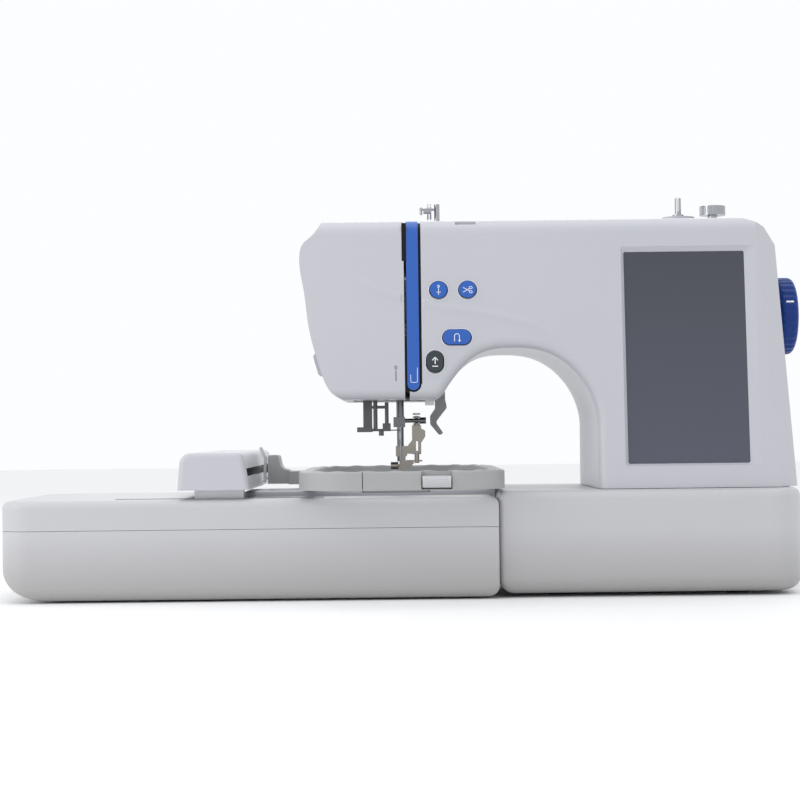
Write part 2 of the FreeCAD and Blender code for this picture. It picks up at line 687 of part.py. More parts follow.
def belt_loop(first, second, first_radius, second_radius, left, width):
    """Flat belt round two pulleys, each at (y, z)."""
    thick = 1.6
    loops = []
    for grow in (0.25 + thick, 0.25):
        hull = None
        start = Vector(left, first[0], first[1])
        stop = Vector(left, second[0], second[1])
        reach = stop - start
        distance = reach.Length
        along = Vector(reach).normalize()
        across = X_AXIS.cross(along)
        turn = math.asin((first_radius - second_radius) / distance)
        tangent = across * math.cos(turn) + along * math.sin(turn)
        mirror = across * -math.cos(turn) + along * math.sin(turn)
        r_first = first_radius + grow
        r_second = second_radius + grow
        corners = [start + tangent * r_first, stop + tangent * r_second,
                   stop + mirror * r_second, start + mirror * r_first]
        side = Part.Face(Part.makePolygon(corners + [corners[0]])).extrude(Vector(width, 0, 0))
        hull = side.fuse(rod(r_first, width, start, X_AXIS)).fuse(rod(r_second, width, stop, X_AXIS))
        loops.append(hull)
    return loops[0].cut(loops[1])


def make_belts():
    """Belt from the motor to the main shaft and belt from the main shaft down to the lower shaft."""
    upper = (size("shaft_y"), size("shaft_z"))
    motor_belt = belt_loop(upper, (-36, 112), 15, 6, 286.5, 3)
    timing_belt = belt_loop(upper, (0, size("lower_shaft_z")), 15, 13, 290.6, 3)
    solid_part("drive_belts", Part.makeCompound([motor_belt, timing_belt]))


def make_hook():
    """Rotary hook, bobbin case, bobbin and feed dogs."""
    hook_y = size("hook_y")
    top = size("hook_top")
    hook = body_part("rotary_hook")
    bar_x = size("bar_x")
    pad(hook, "XY_Plane", circle(bar_x, hook_y, size("hook_r")), "58", "Sizes.hook_top - 58")
    pocket(hook, "XY_Plane", circle(bar_x, hook_y, size("hook_r") - 1.2), "Sizes.hook_top",
           "Sizes.hook_top - 60")
    pad(hook, "XY_Plane", circle(bar_x, hook_y, 4.8), "41", "17")
    pad(hook, "XY_Plane", circle(bar_x, hook_y, 2.5), "24", "18")

    case = body_part("bobbin_case")
    pad(case, "XY_Plane", circle(bar_x, hook_y, size("case_r")), "61", "15.5")
    pocket(case, "XY_Plane", circle(bar_x, hook_y, size("bobbin_r") + 0.5), "76.5", "14")

    inner = cylinder("3", "20", Vector(bar_x, hook_y, 60))
    outer = cylinder("Sizes.bobbin_r", "Sizes.bobbin_tall", Vector(bar_x, hook_y, 63))
    groove_outer = cylinder("Sizes.bobbin_r + 1", "Sizes.bobbin_tall - 2.4", Vector(bar_x, hook_y, 64.2))
    groove_inner = cylinder("4.4", "Sizes.bobbin_tall", Vector(bar_x, hook_y, 63))
    groove = doc.addObject("Part::Cut", "ThreadSpace")
    groove.Base = groove_outer
    groove.Tool = groove_inner
    spool = doc.addObject("Part::Cut", "Spool")
    spool.Base = outer
    spool.Tool = groove
    bobbin = doc.addObject("Part::Cut", "bobbin")
    bobbin.Base = spool
    bobbin.Tool = inner
    keep(bobbin, "bobbin")

    rows = [box("2.4", "19", "2.8", Vector(x, -4.8, top + 1)) for x in (-10.2, 7.8)]
    rows.append(box("4.2", "9", "2.8", Vector(-2.6, 5.4, top + 1)))
    carrier = box("20.4", "5", "3", Vector(-10.2, 9, top - 2))
    fused("feed_dogs", rows + [carrier])


# ---------------------------------------------------------------- electrics

def make_electrics():
    """Control board, power supply, inlet, switch, USB port and head lamp."""
    board = [box("112", "2", "104", Vector(160, -46, 154))]
    for column in range(4):
        for row in range(3):
            board.append(box("16", "6", "18", Vector(168 + 26 * column, -44.5, 162 + 30 * row)))
    fused("control_board", board)
    fused("power_supply", [
        box("78", "44", "2", Vector(196, 36, 12)), box("34", "28", "24", Vector(202, 42, 13)),
        cylinder("8", "22", Vector(252, 52, 13)), cylinder("8", "22", Vector(252, 70, 13)),
    ])
    right = size("base_right")
    inlet = block(right - 20, right + 0.2, 30.4, 57.6, 24.4, 44.6)
    inlet = inlet.cut(block(right - 14, right + 1, 33.4, 54.6, 27.4, 41.6))
    for y, z in ((38, 36.5), (44, 32), (50, 36.5)):
        inlet = inlet.fuse(block(right - 14.5, right - 6, y - 1, y + 1, z - 2, z + 2))
    solid_part("power_inlet", inlet)

    switch = body_part("power_switch")
    rocker = rounded([(right - 9, -1.4, 0), (right + 0.6, -1.4, 0.6), (right - 0.6, 6, 6),
                      (right + 1.4, 13.4, 0.6), (right - 9, 13.4, 0)])
    pad(switch, "XY_Plane", rocker, "27.4", "16.2")

    port = block(right - 16, right + 0.1, -51.7, -38.3, 50.3, 56.7)
    port = port.cut(block(right - 12, right + 1, -50.9, -39.1, 51.1, 55.9))
    port = port.fuse(block(right - 12.5, right - 2, -50.9, -39.1, 54.4, 55.9))
    solid_part("usb_port", port)

    fused("head_lamp", [
        box("7", "22", "4", Vector(19.6, -24, 149.2)), box("5", "18", "3", Vector(20.6, -22, 152)),
    ])


# ---------------------------------------------------------------- fittings on top and on the head

def make_top_fittings():
    """Thread guide post, bobbin winder with its seat and stop, and the thread cutter on the head."""
    top = size("casing_top")
    post = [
        cylinder("2.2", "22", Vector(31, 0, top - 3)), cylinder("4", "1.4", Vector(31, 0, top)),
        cylinder("1.1", "14", Vector(17, 0, top + 15), X_AXIS),
        cylinder("6.5", "1.2", Vector(23, 0, top + 13), X_AXIS),
        cylinder("6.5", "1.2", Vector(25.2, 0, top + 13), X_AXIS),
        cylinder("1.6", "6", Vector(20, 0, top + 13), X_AXIS),
        cylinder("1.1", "6", Vector(18, 0, top + 10.5)),
    ]
    fused("top_thread_guide", post)

    seat = body_part("winder_seat")
    pad(seat, "XY_Plane", circle(227, 0, 13.2), "Sizes.casing_top", "6")
    pocket(seat, "XY_Plane", circle(227, 0, 9), "Sizes.casing_top + 6", "2.5")
    pocket(seat, "XY_Plane", circle(227, 0, 3.4), "Sizes.casing_top + 6", "6")

    spindle = rod(2.4, 41, Vector(227, 0, 259)).fuse(rod(4.6, 2, Vector(227, 0, top + 6.2)))
    spindle = spindle.fuse(rod(2.5, 14, Vector(227, 0, top + 8.2)))
    spindle = spindle.cut(block(226.4, 227.6, -4, 4, top + 11, top + 30))
    tip = [edge for edge in spindle.Edges if edge.BoundBox.ZMin > top + 22.1]
    solid_part("winder_spindle", spindle.makeChamfer(0.6, tip))

    stop = rod(10.4, 7.4, Vector(255, 0, top + 7.4)).fuse(rod(3.9, 7.2, Vector(255, 0, top + 0.4)))
    stop = stop.fuse(rod(3.0, 14, Vector(255, 0, top - 13)))
    for turn in range(36):
        angle = math.radians(turn * 10)
        groove = Vector(255 + 10.5 * math.cos(angle), 10.5 * math.sin(angle), top + 8.1)
        stop = stop.cut(rod(0.45, 6, groove))
    solid_part("winder_stop", stop)

    nose = rounded([(-60, 173.5, 0), (-65.4, 173.5, 2), (-70.6, 191.5, 3), (-60, 191.5, 0)])
    cutter = prism(nose, -23.5, 21, "XZ").cut(block(-74, -63, -13.6, -12.4, 172, 188))
    solid_part("side_thread_cutter", cutter)


# ---------------------------------------------------------------- needle, presser and threader

def make_needle_group():
    """Needle bar, its clamp with the screw, and the needle."""
    bar_x = size("bar_x")
    low = size("bar_low")
    fused("needle_bar", [
        cylinder("Sizes.bar_r", "Sizes.bar_tall", Vector(bar_x, 0, low)),
        box("8", "11", "9", Vector(bar_x - 4.5, -5.5, 214)),
    ])
    clamp = block(-6.2, 3.3, -4.6, 5.2, low - 2.2, low - 0.1)
    clamp = clamp.fuse(block(-6.2, 3.3, -5.6, 5.6, low - 0.1, low + 6))
    clamp = clamp.cut(rod(size("bar_r") + 0.1, 10, Vector(bar_x, 0, low)))
    clamp = clamp.cut(rod(1.05, 12, Vector(bar_x, 0, low - 5)))
    clamp = clamp.fuse(rod(1.7, 12, Vector(3.2, 0, low + 3), X_AXIS))
    clamp = clamp.fuse(rod(2.6, 5.2, Vector(15, 0, low + 3), X_AXIS))
    solid_part("needle_clamp", clamp)
    needle = rod(1.0, 12, Vector(bar_x, 0, low - 12))
    needle = needle.fuse(Part.makeCone(0.45, 1.0, 3, Vector(bar_x, 0, low - 15)))
    needle = needle.fuse(rod(0.45, 13, Vector(bar_x, 0, low - 28)))
    needle = needle.fuse(Part.makeCone(0.08, 0.45, 3, Vector(bar_x, 0, low - 31)))
    solid_part("needle", needle)


def make_presser():
    """Presser bar with the embroidery foot, and the lifter lever."""
    bar_x = size("bar_x")
    presser_y = size("presser_y")
    fused("presser_bar", [
        cylinder("Sizes.presser_r", "Sizes.presser_tall", Vector(bar_x, presser_y, size("presser_low"))),
        box("9", "7", "8", Vector(bar_x - 4.5, presser_y - 3.4, 186)),
    ])
    near = presser_y - 5.4
    collar = block(-4.6, 4.6, near, presser_y + 5, 108, 116.5)
    collar = collar.cut(rod(size("presser_r"), 30, Vector(bar_x, presser_y, 100)))
    arm = prism(rounded([(4.2, 110, 0), (9.4, 110, 0), (9.4, 121, 0), (8.6, 121, 0), (4.2, 115.5, 0)]),
                near, 2.4, "XZ")
    back_plate = block(8.8, 16.2, near, near + 2.4, 109.6, 133.4)
    back_plate = back_plate.cut(block(12, 13.6, near - 1, near + 4, 112.4, 120.4))
    wedge = prism(rounded([(9.4, 122, 0.5), (16, 118.6, 0.5), (19.6, 124, 0.5), (19.6, 129, 1.5),
                           (14.6, 131.4, 1)]), near - 1.2, 1.4, "XZ")
    rail = block(3.6, 17, near - 0.4, near + 2.4, 103.6, 105.0)
    column = rod(2.0, 8.6, Vector(12.6, near + 1.2, 102.4))
    shank = block(-1.8, 3.4, near + 0.2, near + 2.6, 84.4, 108.6)
    fin = prism(rounded([(3.2, 98, 0), (5.6, 98, 0.5), (10.4, 102.4, 0.8), (9.4, 104, 0.5), (3.2, 104, 0)]),
                near, 1.6, "XZ")
    screw = rod(3.2, 6.2, Vector(-8.8, near + 1.4, 100.4), X_AXIS)
    screw = screw.fuse(rod(1.2, 8, Vector(-8.8, near + 1.4, 100.4), X_AXIS))
    knob = rod(2.7, 1.6, Vector(12.6, near + 1.2, 133.4)).fuse(rod(1.5, 8, Vector(12.6, near + 1.2, 133)))
    for level in (136.6, 139.2, 141.8):
        knob = knob.fuse(rod(3.1, 1.3, Vector(12.6, near + 1.2, level)))
    neck = block(-1.8, 3.4, 5, near + 2.6, 84.4, 86.2)
    sole = rod(7.2, 1.8, Vector(bar_x, 0, 84.4)).cut(rod(3.4, 4, Vector(bar_x, 0, 83.4)))
    foot = collar
    for piece in (arm, back_plate, wedge, rail, column, shank, fin, screw, knob, neck, sole):
        foot = foot.fuse(piece)
    solid_part("embroidery_foot", foot)

    lever = body_part("presser_lifter")
    outline = rounded([(27.6, 172, 3), (36.2, 172, 3), (36.6, 154, 4), (38, 147.6, 3), (28.6, 135.8, 3),
                       (34.6, 126.8, 0.8), (31.8, 124.4, 2), (24, 134, 4), (24, 141, 4), (28.2, 147, 3)])
    pad(lever, "XZ_Plane", outline, "-30", "5")


def make_threader():
    """Needle threader: guide plate, carrying column, cross bar, hook block and roller."""
    plate = block(-30.4, -23.2, -14, -12, 130, 176)
    plate = plate.fuse(block(-35.4, -23.0, -16, -10, 128, 132))
    plate = plate.fuse(rod(1.7, 46, Vector(-20.6, -13, 130)))
    plate = plate.fuse(block(-23.4, -10, -14.2, -11.8, 146.8, 149.2))
    plate = plate.fuse(rod(1.55, 18, Vector(-11.5, -13, 134)))
    plate = plate.fuse(block(-14.9, -8.4, -16, -10, 128.6, 135))
    plate = plate.fuse(rod(2.0, 4, Vector(-16, -13, 125)))
    plate = plate.fuse(block(-24, -14.8, -14, -12, 128.6, 130.6))
    plate = plate.fuse(rod(0.45, 8, Vector(-8.6, -12, 129.4), X_AXIS))
    solid_part("needle_threader", plate)


def make_take_up():
    """Take-up lever that swings in the left slot of the thread channel."""
    lever = body_part("take_up_lever")
    outline = rounded([(-6, 204, 5), (6, 204, 5), (6, 218, 5), (-30, 244, 5), (-50, 252, 2),
                       (-52, 247, 2), (-32, 236, 5), (-6, 214, 5)])
    pad(lever, "YZ_Plane", outline, "Sizes.channel_left + 0.3", "0.9")


# ---------------------------------------------------------------- embroidery unit

SLOT = (-222.0, -60.0, -77.0, -59.0)
RAIL_YS = (-84.0, -52.0)


def unit_form(inset, low_round, high_round):
    """Solid form of the embroidery unit: a block at the left and a bar in front of the free arm."""
    left = size("unit_left") + inset
    front = size("unit_front") + inset
    rear = size("unit_rear") - inset
    inner = size("unit_inner") - inset
    bar_rear = size("unit_bar_rear") - inset
    right = size("base_left") - 0.4 - inset
    low = size("unit_low") + inset
    high = size("unit_top") - inset
    outline = rounded([(left, front, 22 - inset), (right, front, 1.5), (right, bar_rear, 1.5),
                       (inner, bar_rear, 4 + inset), (inner, rear, 8 - inset), (left, rear, 30 - inset)])
    solid = prism(outline, low, high - low)
    top = [edge for edge in solid.Edges if edge.BoundBox.ZMin > high - 0.01
           and not (abs(edge.CenterOfMass.x - right) < 1 and edge.Length < 80)]
    solid = solid.makeFillet(high_round - inset, top)
    foot = [edge for edge in solid.Edges if edge.BoundBox.ZMax < low + 0.01
            and not (abs(edge.CenterOfMass.x - right) < 1 and edge.Length < 80)]
    solid = solid.makeFillet(low_round - inset, foot)
    # the left end is cut away in a long curve at the foot
    curve = Part.BSplineCurve()
    curve.interpolate([Vector(left - 1, 32, 0), Vector(left + 4, 18, 0), Vector(left + 17, 7, 0),
                       Vector(left + 50, 1.6, 0)])
    below = [Vector(left + 50, 1.6, 0), Vector(left + 50, -20, 0), Vector(left - 1, -20, 0),
             Vector(left - 1, 32, 0)]
    edges = [curve.toShape()]
    for start, stop in zip(below, below[1:]):
        edges.append(Part.LineSegment(start, stop).toShape())
    face = Part.Face(Part.Wire(Part.__sortEdges__(edges)))
    face.Placement = Placement(Vector(0, 300, inset), Rotation(X_AXIS, 90))
    return solid.cut(face.extrude(Vector(0, -600, 0)))


def make_unit():
    """Top and bottom case, guide rails, motor and release lever of the embroidery unit."""
    wall = size("unit_wall")
    parting = size("unit_parting")
    top = size("unit_top")
    left = size("unit_left")
    shell = unit_form(0, 9, 6).cut(unit_form(wall, 9, 6))
    shell = shell.cut(block(SLOT[0], SLOT[1], SLOT[2], SLOT[3], top - 9, top + 5))
    shell = shell.cut(block(left - 7, left + 13, -25, 15, 38, 66))
    upper = shell.common(block(-500, 500, -500, 500, parting + 0.3, 500))
    lower = shell.common(block(-500, 500, -500, 500, -10, parting))
    solid_part("unit_top_case", upper)
    low = size("unit_low")
    for x, y in ((-240, -60), (-150, 80), (-240, 80), (40, -66)):
        lower = lower.fuse(rod(7, low + 1.2, Vector(x, y, 0)))
    for y in RAIL_YS:
        for x in (-270, 60):
            post = block(x - 5, x + 5, y - 6, y + 6, low + wall - 0.5, size("rail_z") + 6)
            rail_hole = rod(size("rail_r") + 0.02, 12, Vector(x - 6, y, size("rail_z")), X_AXIS)
            lower = lower.fuse(post.cut(rail_hole))
    solid_part("unit_bottom_case", lower)

    rails = [cylinder("Sizes.rail_r", "342", Vector(-276, y, size("rail_z")), X_AXIS) for y in RAIL_YS]
    grouped("unit_guide_rails", rails)
    fused("unit_motor", [
        cylinder("17", "30", Vector(-262, 10, 12)), box("42", "42", "3", Vector(-283, -11, 42)),
        cylinder("2.5", "9", Vector(-262, 10, 45)), cylinder("6", "6", Vector(-262, 10, 47)),
    ])
    lever = body_part("unit_release_lever")
    grip = rounded([(left - 1.8, 40, 1.5), (left + 7, 40, 0), (left + 7, 64, 0), (left - 1.8, 64, 1.5)])
    pad(lever, "XZ_Plane", grip,
        "-14", "38")


def make_carriage():
    """Carriage base with its post on the rails, cover, Y motor and hoop holder."""
    left = size("carriage_left")
    right = size("carriage_right")
    front = size("carriage_front")
    rear = size("carriage_rear")
    low = size("carriage_low")
    top = size("carriage_top")
    rail_z = size("rail_z")
    run = size("running")

    base = block(-160, -122, -90, -46, rail_z - 7, rail_z + 8)
    for y in RAIL_YS:
        base = base.cut(rod(size("rail_r") + run, 60, Vector(-170, y, rail_z), X_AXIS))
    base = base.fuse(block(-160, -122, -74, -62, rail_z + 7, low + 2))
    base = base.fuse(block(left + 6, right - 4, front + 5, rear - 5, low + 0.2, low + 2.4))
    for y in (front + 6, rear - 12):
        base = base.fuse(block(-152, -136, y, y + 6, low + 2, low + 16))
    base = base.fuse(rod(3, rear - front - 20, Vector(-144, front + 8, low + 10), Y_AXIS))
    solid_part("carriage_base", base)

    def form(inset):
        profile = rounded([(left + inset, low, 0), (right - inset, low, 0),
                           (right - 5 - inset, top - inset, 5),
                           (left + 2 + inset, top - inset, 9)])
        solid = prism(profile, front + inset, rear - front - 2 * inset, "XZ")
        ends = [edge for edge in solid.Edges if edge.CenterOfMass.z > low + 1
                and (edge.BoundBox.YMax < front + inset + 0.01 or edge.BoundBox.YMin > rear - inset - 0.01)]
        return solid.makeFillet(4 - inset / 2, ends)

    cover = form(0).cut(form(2.5))
    cover = cover.cut(block(left + 2.5, right - 2.5, front + 2.5, rear - 2.5, low - 1, low + 4))
    cover = cover.cut(block(-135, right + 5, front + 8, rear - 8, low + 10, low + 16.2))
    solid_part("carriage_cover", cover)

    holder = block(-152.5, -132, 28, 52, low + 4.6, low + 20)
    holder = holder.cut(rod(3 + run, 60, Vector(-144, 0, low + 10), Y_AXIS))
    holder = holder.fuse(block(-134, -108, 38, 50, low + 10.6, low + 15.6))
    flank = rounded([(-110.2, low + 1.4, 0), (-93.2, low + 1.4, 0), (-93.2, low + 12.4, 0),
                     (-99.4, low + 14.4, 6), (-101.6, low + 25, 2), (-110.2, low + 25, 2)])
    holder = holder.fuse(prism(flank, 24, 32, "XZ"))
    holder = holder.cut(rod(1.5, 8, Vector(-112, 34, low + 6), X_AXIS))
    solid_part("hoop_holder", holder)

    lever = rod(1.2, 7.6, Vector(-114.6, 34, low + 6), X_AXIS)
    bent = rounded([(-114.8, low + 2.4, 0.5), (-112.4, low + 2.4, 0.5), (-111.6, low + 23, 3),
                    (-115.6, low + 32, 0.5), (-118, low + 31, 0.5), (-114, low + 22, 3)])
    stem = prism(bent, 31.6, 4.8, "XZ")
    solid_part("hoop_release_lever", lever.fuse(stem.cut(block(-125, -100, 32.6, 35.4, low + 11, low + 24))))

    fused("carriage_motor", [
        cylinder("9", "13", Vector(-160, 168.4, low + 15.8), X_AXIS),
        cylinder("1.6", "5", Vector(-147.4, 168.4, low + 15.8), X_AXIS),
    ])


def make_hoop():
    """Outer hoop frame with its bracket, inner frame and adjusting screw."""
    half_x = size("hoop_half_x")
    half_y = size("hoop_half_y")
    corner = size("hoop_round")
    low = size("hoop_low")
    tall = size("hoop_tall")
    wall = size("hoop_wall")

    def ring(outer_inset, ring_wall, z_low, z_tall, soft):
        pieces = []
        for inset in (outer_inset, outer_inset + ring_wall):
            outline = rectangle(-half_x + inset, -half_y + inset, half_x - inset, half_y - inset,
                                corner - inset)
            pieces.append(prism(outline, z_low, z_tall))
        pieces[0] = pieces[0].makeFillet(soft, [edge for edge in pieces[0].Edges
                                                if edge.BoundBox.ZMin > z_low + z_tall - 0.01])
        return pieces[0].cut(pieces[1])

    outer = ring(0, wall, low, tall, 1.5)
    bracket = block(-92.8, -half_x + 2, 18, 62, low + 1.4, low + 12)
    flare = rod(14, 20, Vector(-92.8, 4, low)).fuse(rod(14, 20, Vector(-92.8, 76, low)))
    wings = block(-92.8, -half_x + 1, 4, 76, low + 1.4, low + 12).cut(flare)
    outer = outer.fuse(bracket).fuse(wings)
    screw_y = -half_y + 0.6
    radius = size("hoop_screw_r")
    outer = outer.cut(block(14.2, 37.2, -half_y - 5, screw_y + radius + 0.4, low + 0.6, low + tall + 1))
    for x in (10, 36.5):
        outer = outer.cut(rod(1.65, 5, Vector(x, screw_y + 2.6, low + 6.2), X_AXIS))
    outer = outer.cut(block(-29.3, -28.7, -half_y - 5, -half_y + wall + 0.1, low - 1, low + tall + 1))
    solid_part("hoop_outer_frame", outer)

    inner_low = low + 0.8
    inner = ring(wall + 0.35, size("hoop_inner_wall"), inner_low, tall - 0.2, 1.0)
    solid_part("hoop_inner_frame", inner)

    barrel = rod(radius, 21, Vector(15.2, screw_y, low + 6.2), X_AXIS)
    for turn in range(18):
        angle = math.radians(turn * 20)
        y = screw_y + (radius + 0.3) * math.cos(angle)
        z = low + 6.2 + (radius + 0.3) * math.sin(angle)
        barrel = barrel.cut(rod(0.55, 17, Vector(17.2, y, z), X_AXIS))
    solid_part("hoop_screw", barrel)


# ---------------------------------------------------------------- build, check and write

make_upper_casing()
make_screen()
make_buttons()
make_base()
make_free_arm()
make_frame()
make_drive()
make_belts()
make_hook()
make_electrics()
make_top_fittings()
make_needle_group()
make_presser()
make_threader()
make_take_up()
make_unit()
make_carriage()
make_hoop()
doc.recompute()

for obj in doc.Objects:
    if "Invalid" in obj.State or "Error" in obj.State:
        raise ValueError(f"{obj.Label}: {obj.State}")

os.makedirs("parts", exist_ok=True)
total = Part.makeCompound([obj.Shape for obj in SUBPARTS]).BoundBox
for obj in SUBPARTS:
    shape = obj.Shape
    if shape.isNull() or not shape.isValid() or not shape.Solids:
        raise ValueError(obj.Label + " has no valid solid")
    shape.exportStep(f"parts/{obj.Label}.step")
print(len(SUBPARTS), "sub-parts; X", round(total.XMin, 2), round(total.XMax, 2),
      "Y", round(total.YMin, 2), round(total.YMax, 2), "Z", round(total.ZMin, 2), round(total.ZMax, 2))
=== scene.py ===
# %% [markdown]
# # An embroidery machine, finished round its frame
# The machine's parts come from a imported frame: every solid already has its true size and place. This lesson
# gives them their looks: studio light, moulded plastic, chrome, glass and rubber, and finer meshes where
# the frame's own solids are too plain.

# %% Load the frame
import json
import math

import bmesh
import bpy
import numpy as np
from mathutils import Matrix, Vector
from mathutils.bvhtree import BVHTree


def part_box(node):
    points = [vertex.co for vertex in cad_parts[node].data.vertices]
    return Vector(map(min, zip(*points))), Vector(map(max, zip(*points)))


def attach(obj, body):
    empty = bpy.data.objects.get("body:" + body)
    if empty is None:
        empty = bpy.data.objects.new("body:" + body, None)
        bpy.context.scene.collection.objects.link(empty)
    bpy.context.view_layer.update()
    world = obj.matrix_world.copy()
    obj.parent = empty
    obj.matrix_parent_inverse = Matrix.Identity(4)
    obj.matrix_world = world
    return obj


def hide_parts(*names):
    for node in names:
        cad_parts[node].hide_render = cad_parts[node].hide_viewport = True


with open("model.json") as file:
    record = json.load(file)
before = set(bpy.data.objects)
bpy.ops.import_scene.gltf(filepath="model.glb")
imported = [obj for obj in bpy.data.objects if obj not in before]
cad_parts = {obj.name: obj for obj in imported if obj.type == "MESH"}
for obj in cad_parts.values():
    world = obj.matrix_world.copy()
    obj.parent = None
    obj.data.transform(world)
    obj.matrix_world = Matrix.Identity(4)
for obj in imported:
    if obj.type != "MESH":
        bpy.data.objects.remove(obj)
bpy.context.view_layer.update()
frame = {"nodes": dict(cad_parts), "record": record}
NODES = frame["nodes"]
MM = 0.001
print("frame:", len(NODES), "nodes")

# %% [markdown]
# ## Where things are
# All places are read from the frame. The needle is the machine's natural middle, so its axis is found
# first: the middle of the needle's own box.

# %% Landmarks
def middle(node):
    """Middle of a node's box."""
    low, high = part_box(node)
    return (Vector(low) + Vector(high)) / 2


needle_axis = middle("needle")
BAR_SIDE = -0.7  # the needle hangs this far left of the machine's own middle line


def spot(x, y, z):
    """World place of a point given in millimetres right of, behind and above the middle line's foot."""
    return Vector((needle_axis.x + (x - BAR_SIDE) * MM, needle_axis.y + y * MM, z * MM))


print("needle axis at", tuple(round(value, 4) for value in needle_axis))

# %% [markdown]
# ## Camera
# A long lens far away keeps the machine's lines nearly parallel, as a product picture does. The camera
# stands in front of the needle, low enough to look under the arm, and is tipped up a little.

# %% Camera
CAMERA_DISTANCE = 1.495
CAMERA_HEIGHT = 0.1254
LENS = 82.9
TIP_UP = math.radians(1.09)
ROLL = math.radians(-0.65)

camera_data = bpy.data.cameras.new("studio_camera")
camera_data.lens = LENS
camera_data.sensor_width = 36
camera_data.clip_end = 20
camera = bpy.data.objects.new("studio_camera", camera_data)
bpy.context.scene.collection.objects.link(camera)
place = Matrix.Translation((needle_axis.x, needle_axis.y - CAMERA_DISTANCE, CAMERA_HEIGHT))
upright = Matrix.Rotation(math.radians(90) + TIP_UP, 4, "X")
camera.matrix_world = place @ upright @ Matrix.Rotation(ROLL, 4, "Z")
bpy.context.scene.camera = camera
print("camera", CAMERA_DISTANCE, "m in front of the needle, lens", LENS, "mm")

# %% [markdown]
# ## Light
# A white machine on white needs light from everywhere, so the world itself is a bright white tent. Three
# weak soft panels above, at the left and behind then make the top faces lighter than the upright ones,
# which is what shows the shape.

# %% Light and floor
def soft_panel(name, spot, target, width, height, power):
    """Area light at a spot, turned towards a target."""
    data = bpy.data.lights.new(name, "AREA")
    data.shape = "RECTANGLE"
    data.size = width
    data.size_y = height
    data.energy = power
    lamp = bpy.data.objects.new(name, data)
    bpy.context.scene.collection.objects.link(lamp)
    lamp.location = spot
    lamp.rotation_mode = "QUATERNION"
    lamp.rotation_quaternion = (Vector(target) - Vector(spot)).to_track_quat("-Z", "Y")
    return lamp


AIM = (0, 0, 0.15)
soft_panel("panel_above", (0.0, 0.0, 1.4), AIM, 1.6, 1.0, 4.5)
soft_panel("panel_left", (-1.1, -0.7, 0.7), AIM, 0.8, 1.0, 4.5)
soft_panel("panel_back", (0.2, 1.4, 1.0), AIM, 1.6, 1.0, 4)

world = bpy.data.worlds.new("studio")
world.use_nodes = True
world.node_tree.nodes["Background"].inputs["Color"].default_value = (0.975, 0.985, 1.0, 1)
world.node_tree.nodes["Background"].inputs["Strength"].default_value = 1.0
bpy.context.scene.world = world
bpy.context.scene.view_settings.view_transform = "Standard"

floor_mesh = bpy.data.meshes.new("studio_floor")
floor_half = 6.0
floor_corners = [(-floor_half, -floor_half, 0), (floor_half, -floor_half, 0),
                 (floor_half, floor_half, 0), (-floor_half, floor_half, 0)]
floor_mesh.from_pydata(floor_corners, [], [(0, 1, 2, 3)])
studio_floor = bpy.data.objects.new("studio_floor", floor_mesh)
bpy.context.scene.collection.objects.link(studio_floor)
print("three panels, a white world and a floor", 2 * floor_half, "m wide")

# %% [markdown]
# ## Shader maths as Python
# A finish is a sum of patterns. Wrapping a socket in a small class lets `0.5 + 0.1 * noise` add the Math
# nodes itself, so that a finish reads like its formula.

# %% Shader helpers
class Signal:
    """A value that flows through a material: arithmetic on it adds Math nodes."""

    def __init__(self, finish, socket):
        self.finish = finish
        self.socket = socket

    def maths(self, operation, first, second):
        return self.finish.node("ShaderNodeMath", {"operation": operation}, {0: first, 1: second})["Value"]

    def __add__(self, other):
        return self.maths("ADD", self, other)

    def __radd__(self, other):
        return self.maths("ADD", other, self)

    def __sub__(self, other):
        return self.maths("SUBTRACT", self, other)

    def __rsub__(self, other):
        return self.maths("SUBTRACT", other, self)

    def __mul__(self, other):
        return self.maths("MULTIPLY", self, other)

    def __rmul__(self, other):
        return self.maths("MULTIPLY", other, self)


class Outputs:
    """A node's outputs by name, each as a Signal."""

    def __init__(self, finish, made):
        self.finish = finish
        self.made = made

    def __getitem__(self, name):
        return Signal(self.finish, self.made.outputs[name])


class Finish:
    """A material with a Principled surface, and one method that adds any other node."""

    def __init__(self, name, **constants):
        self.material = bpy.data.materials.new(name)
        self.material.use_nodes = True
        self.tree = self.material.node_tree
        self.surface = self.tree.nodes["Principled BSDF"]
        for socket, value in constants.items():
            self.surface.inputs[socket.replace("_", " ")].default_value = value
        self.place = self.node("ShaderNodeTexCoord", {}, {})["Object"]

    def node(self, kind, settings, sockets):
        """Add a node: its settings first, then the values or links of its sockets."""
        made = self.tree.nodes.new(kind)
        for name, value in settings.items():
            setattr(made, name, value)
        for name, value in sockets.items():
            if isinstance(value, Signal):
                self.tree.links.new(value.socket, made.inputs[name])
            else:
                made.inputs[name].default_value = value
        return Outputs(self, made)

    def feed(self, **signals):
        """Link signals to the surface's own sockets."""
        for name, signal in signals.items():
            self.tree.links.new(signal.socket, self.surface.inputs[name.replace("_", " ")])

    def noise(self, scale, detail=2.0, roughness=0.5, vector=None):
        return self.node("ShaderNodeTexNoise", {}, {
            "Vector": vector or self.place, "Scale": scale, "Detail": detail, "Roughness": roughness})["Fac"]

    def blend(self, amount, first, second):
        """Mix two colours by a signal."""
        return Signal(self, self.node("ShaderNodeMix", {"data_type": "RGBA"}, {
            0: amount, 6: first, 7: second}).made.outputs[2])

    def raise_surface(self, height, distance):
        """Small relief: the height signal as a bump."""
        sockets = {"Strength": 1.0, "Distance": distance, "Height": height}
        return self.node("ShaderNodeBump", {}, sockets)["Normal"]


# %% [markdown]
# ## Finishes
# Moulded plastic is never one flat colour: the gloss wavers over centimetres where the tool was polished by
# hand, and fine grain breaks up the highlight. The base and the unit are also given a darker colour near
# the table, which stands in for the shade that a bright, even floor takes away. All patterns are read in
# metres.

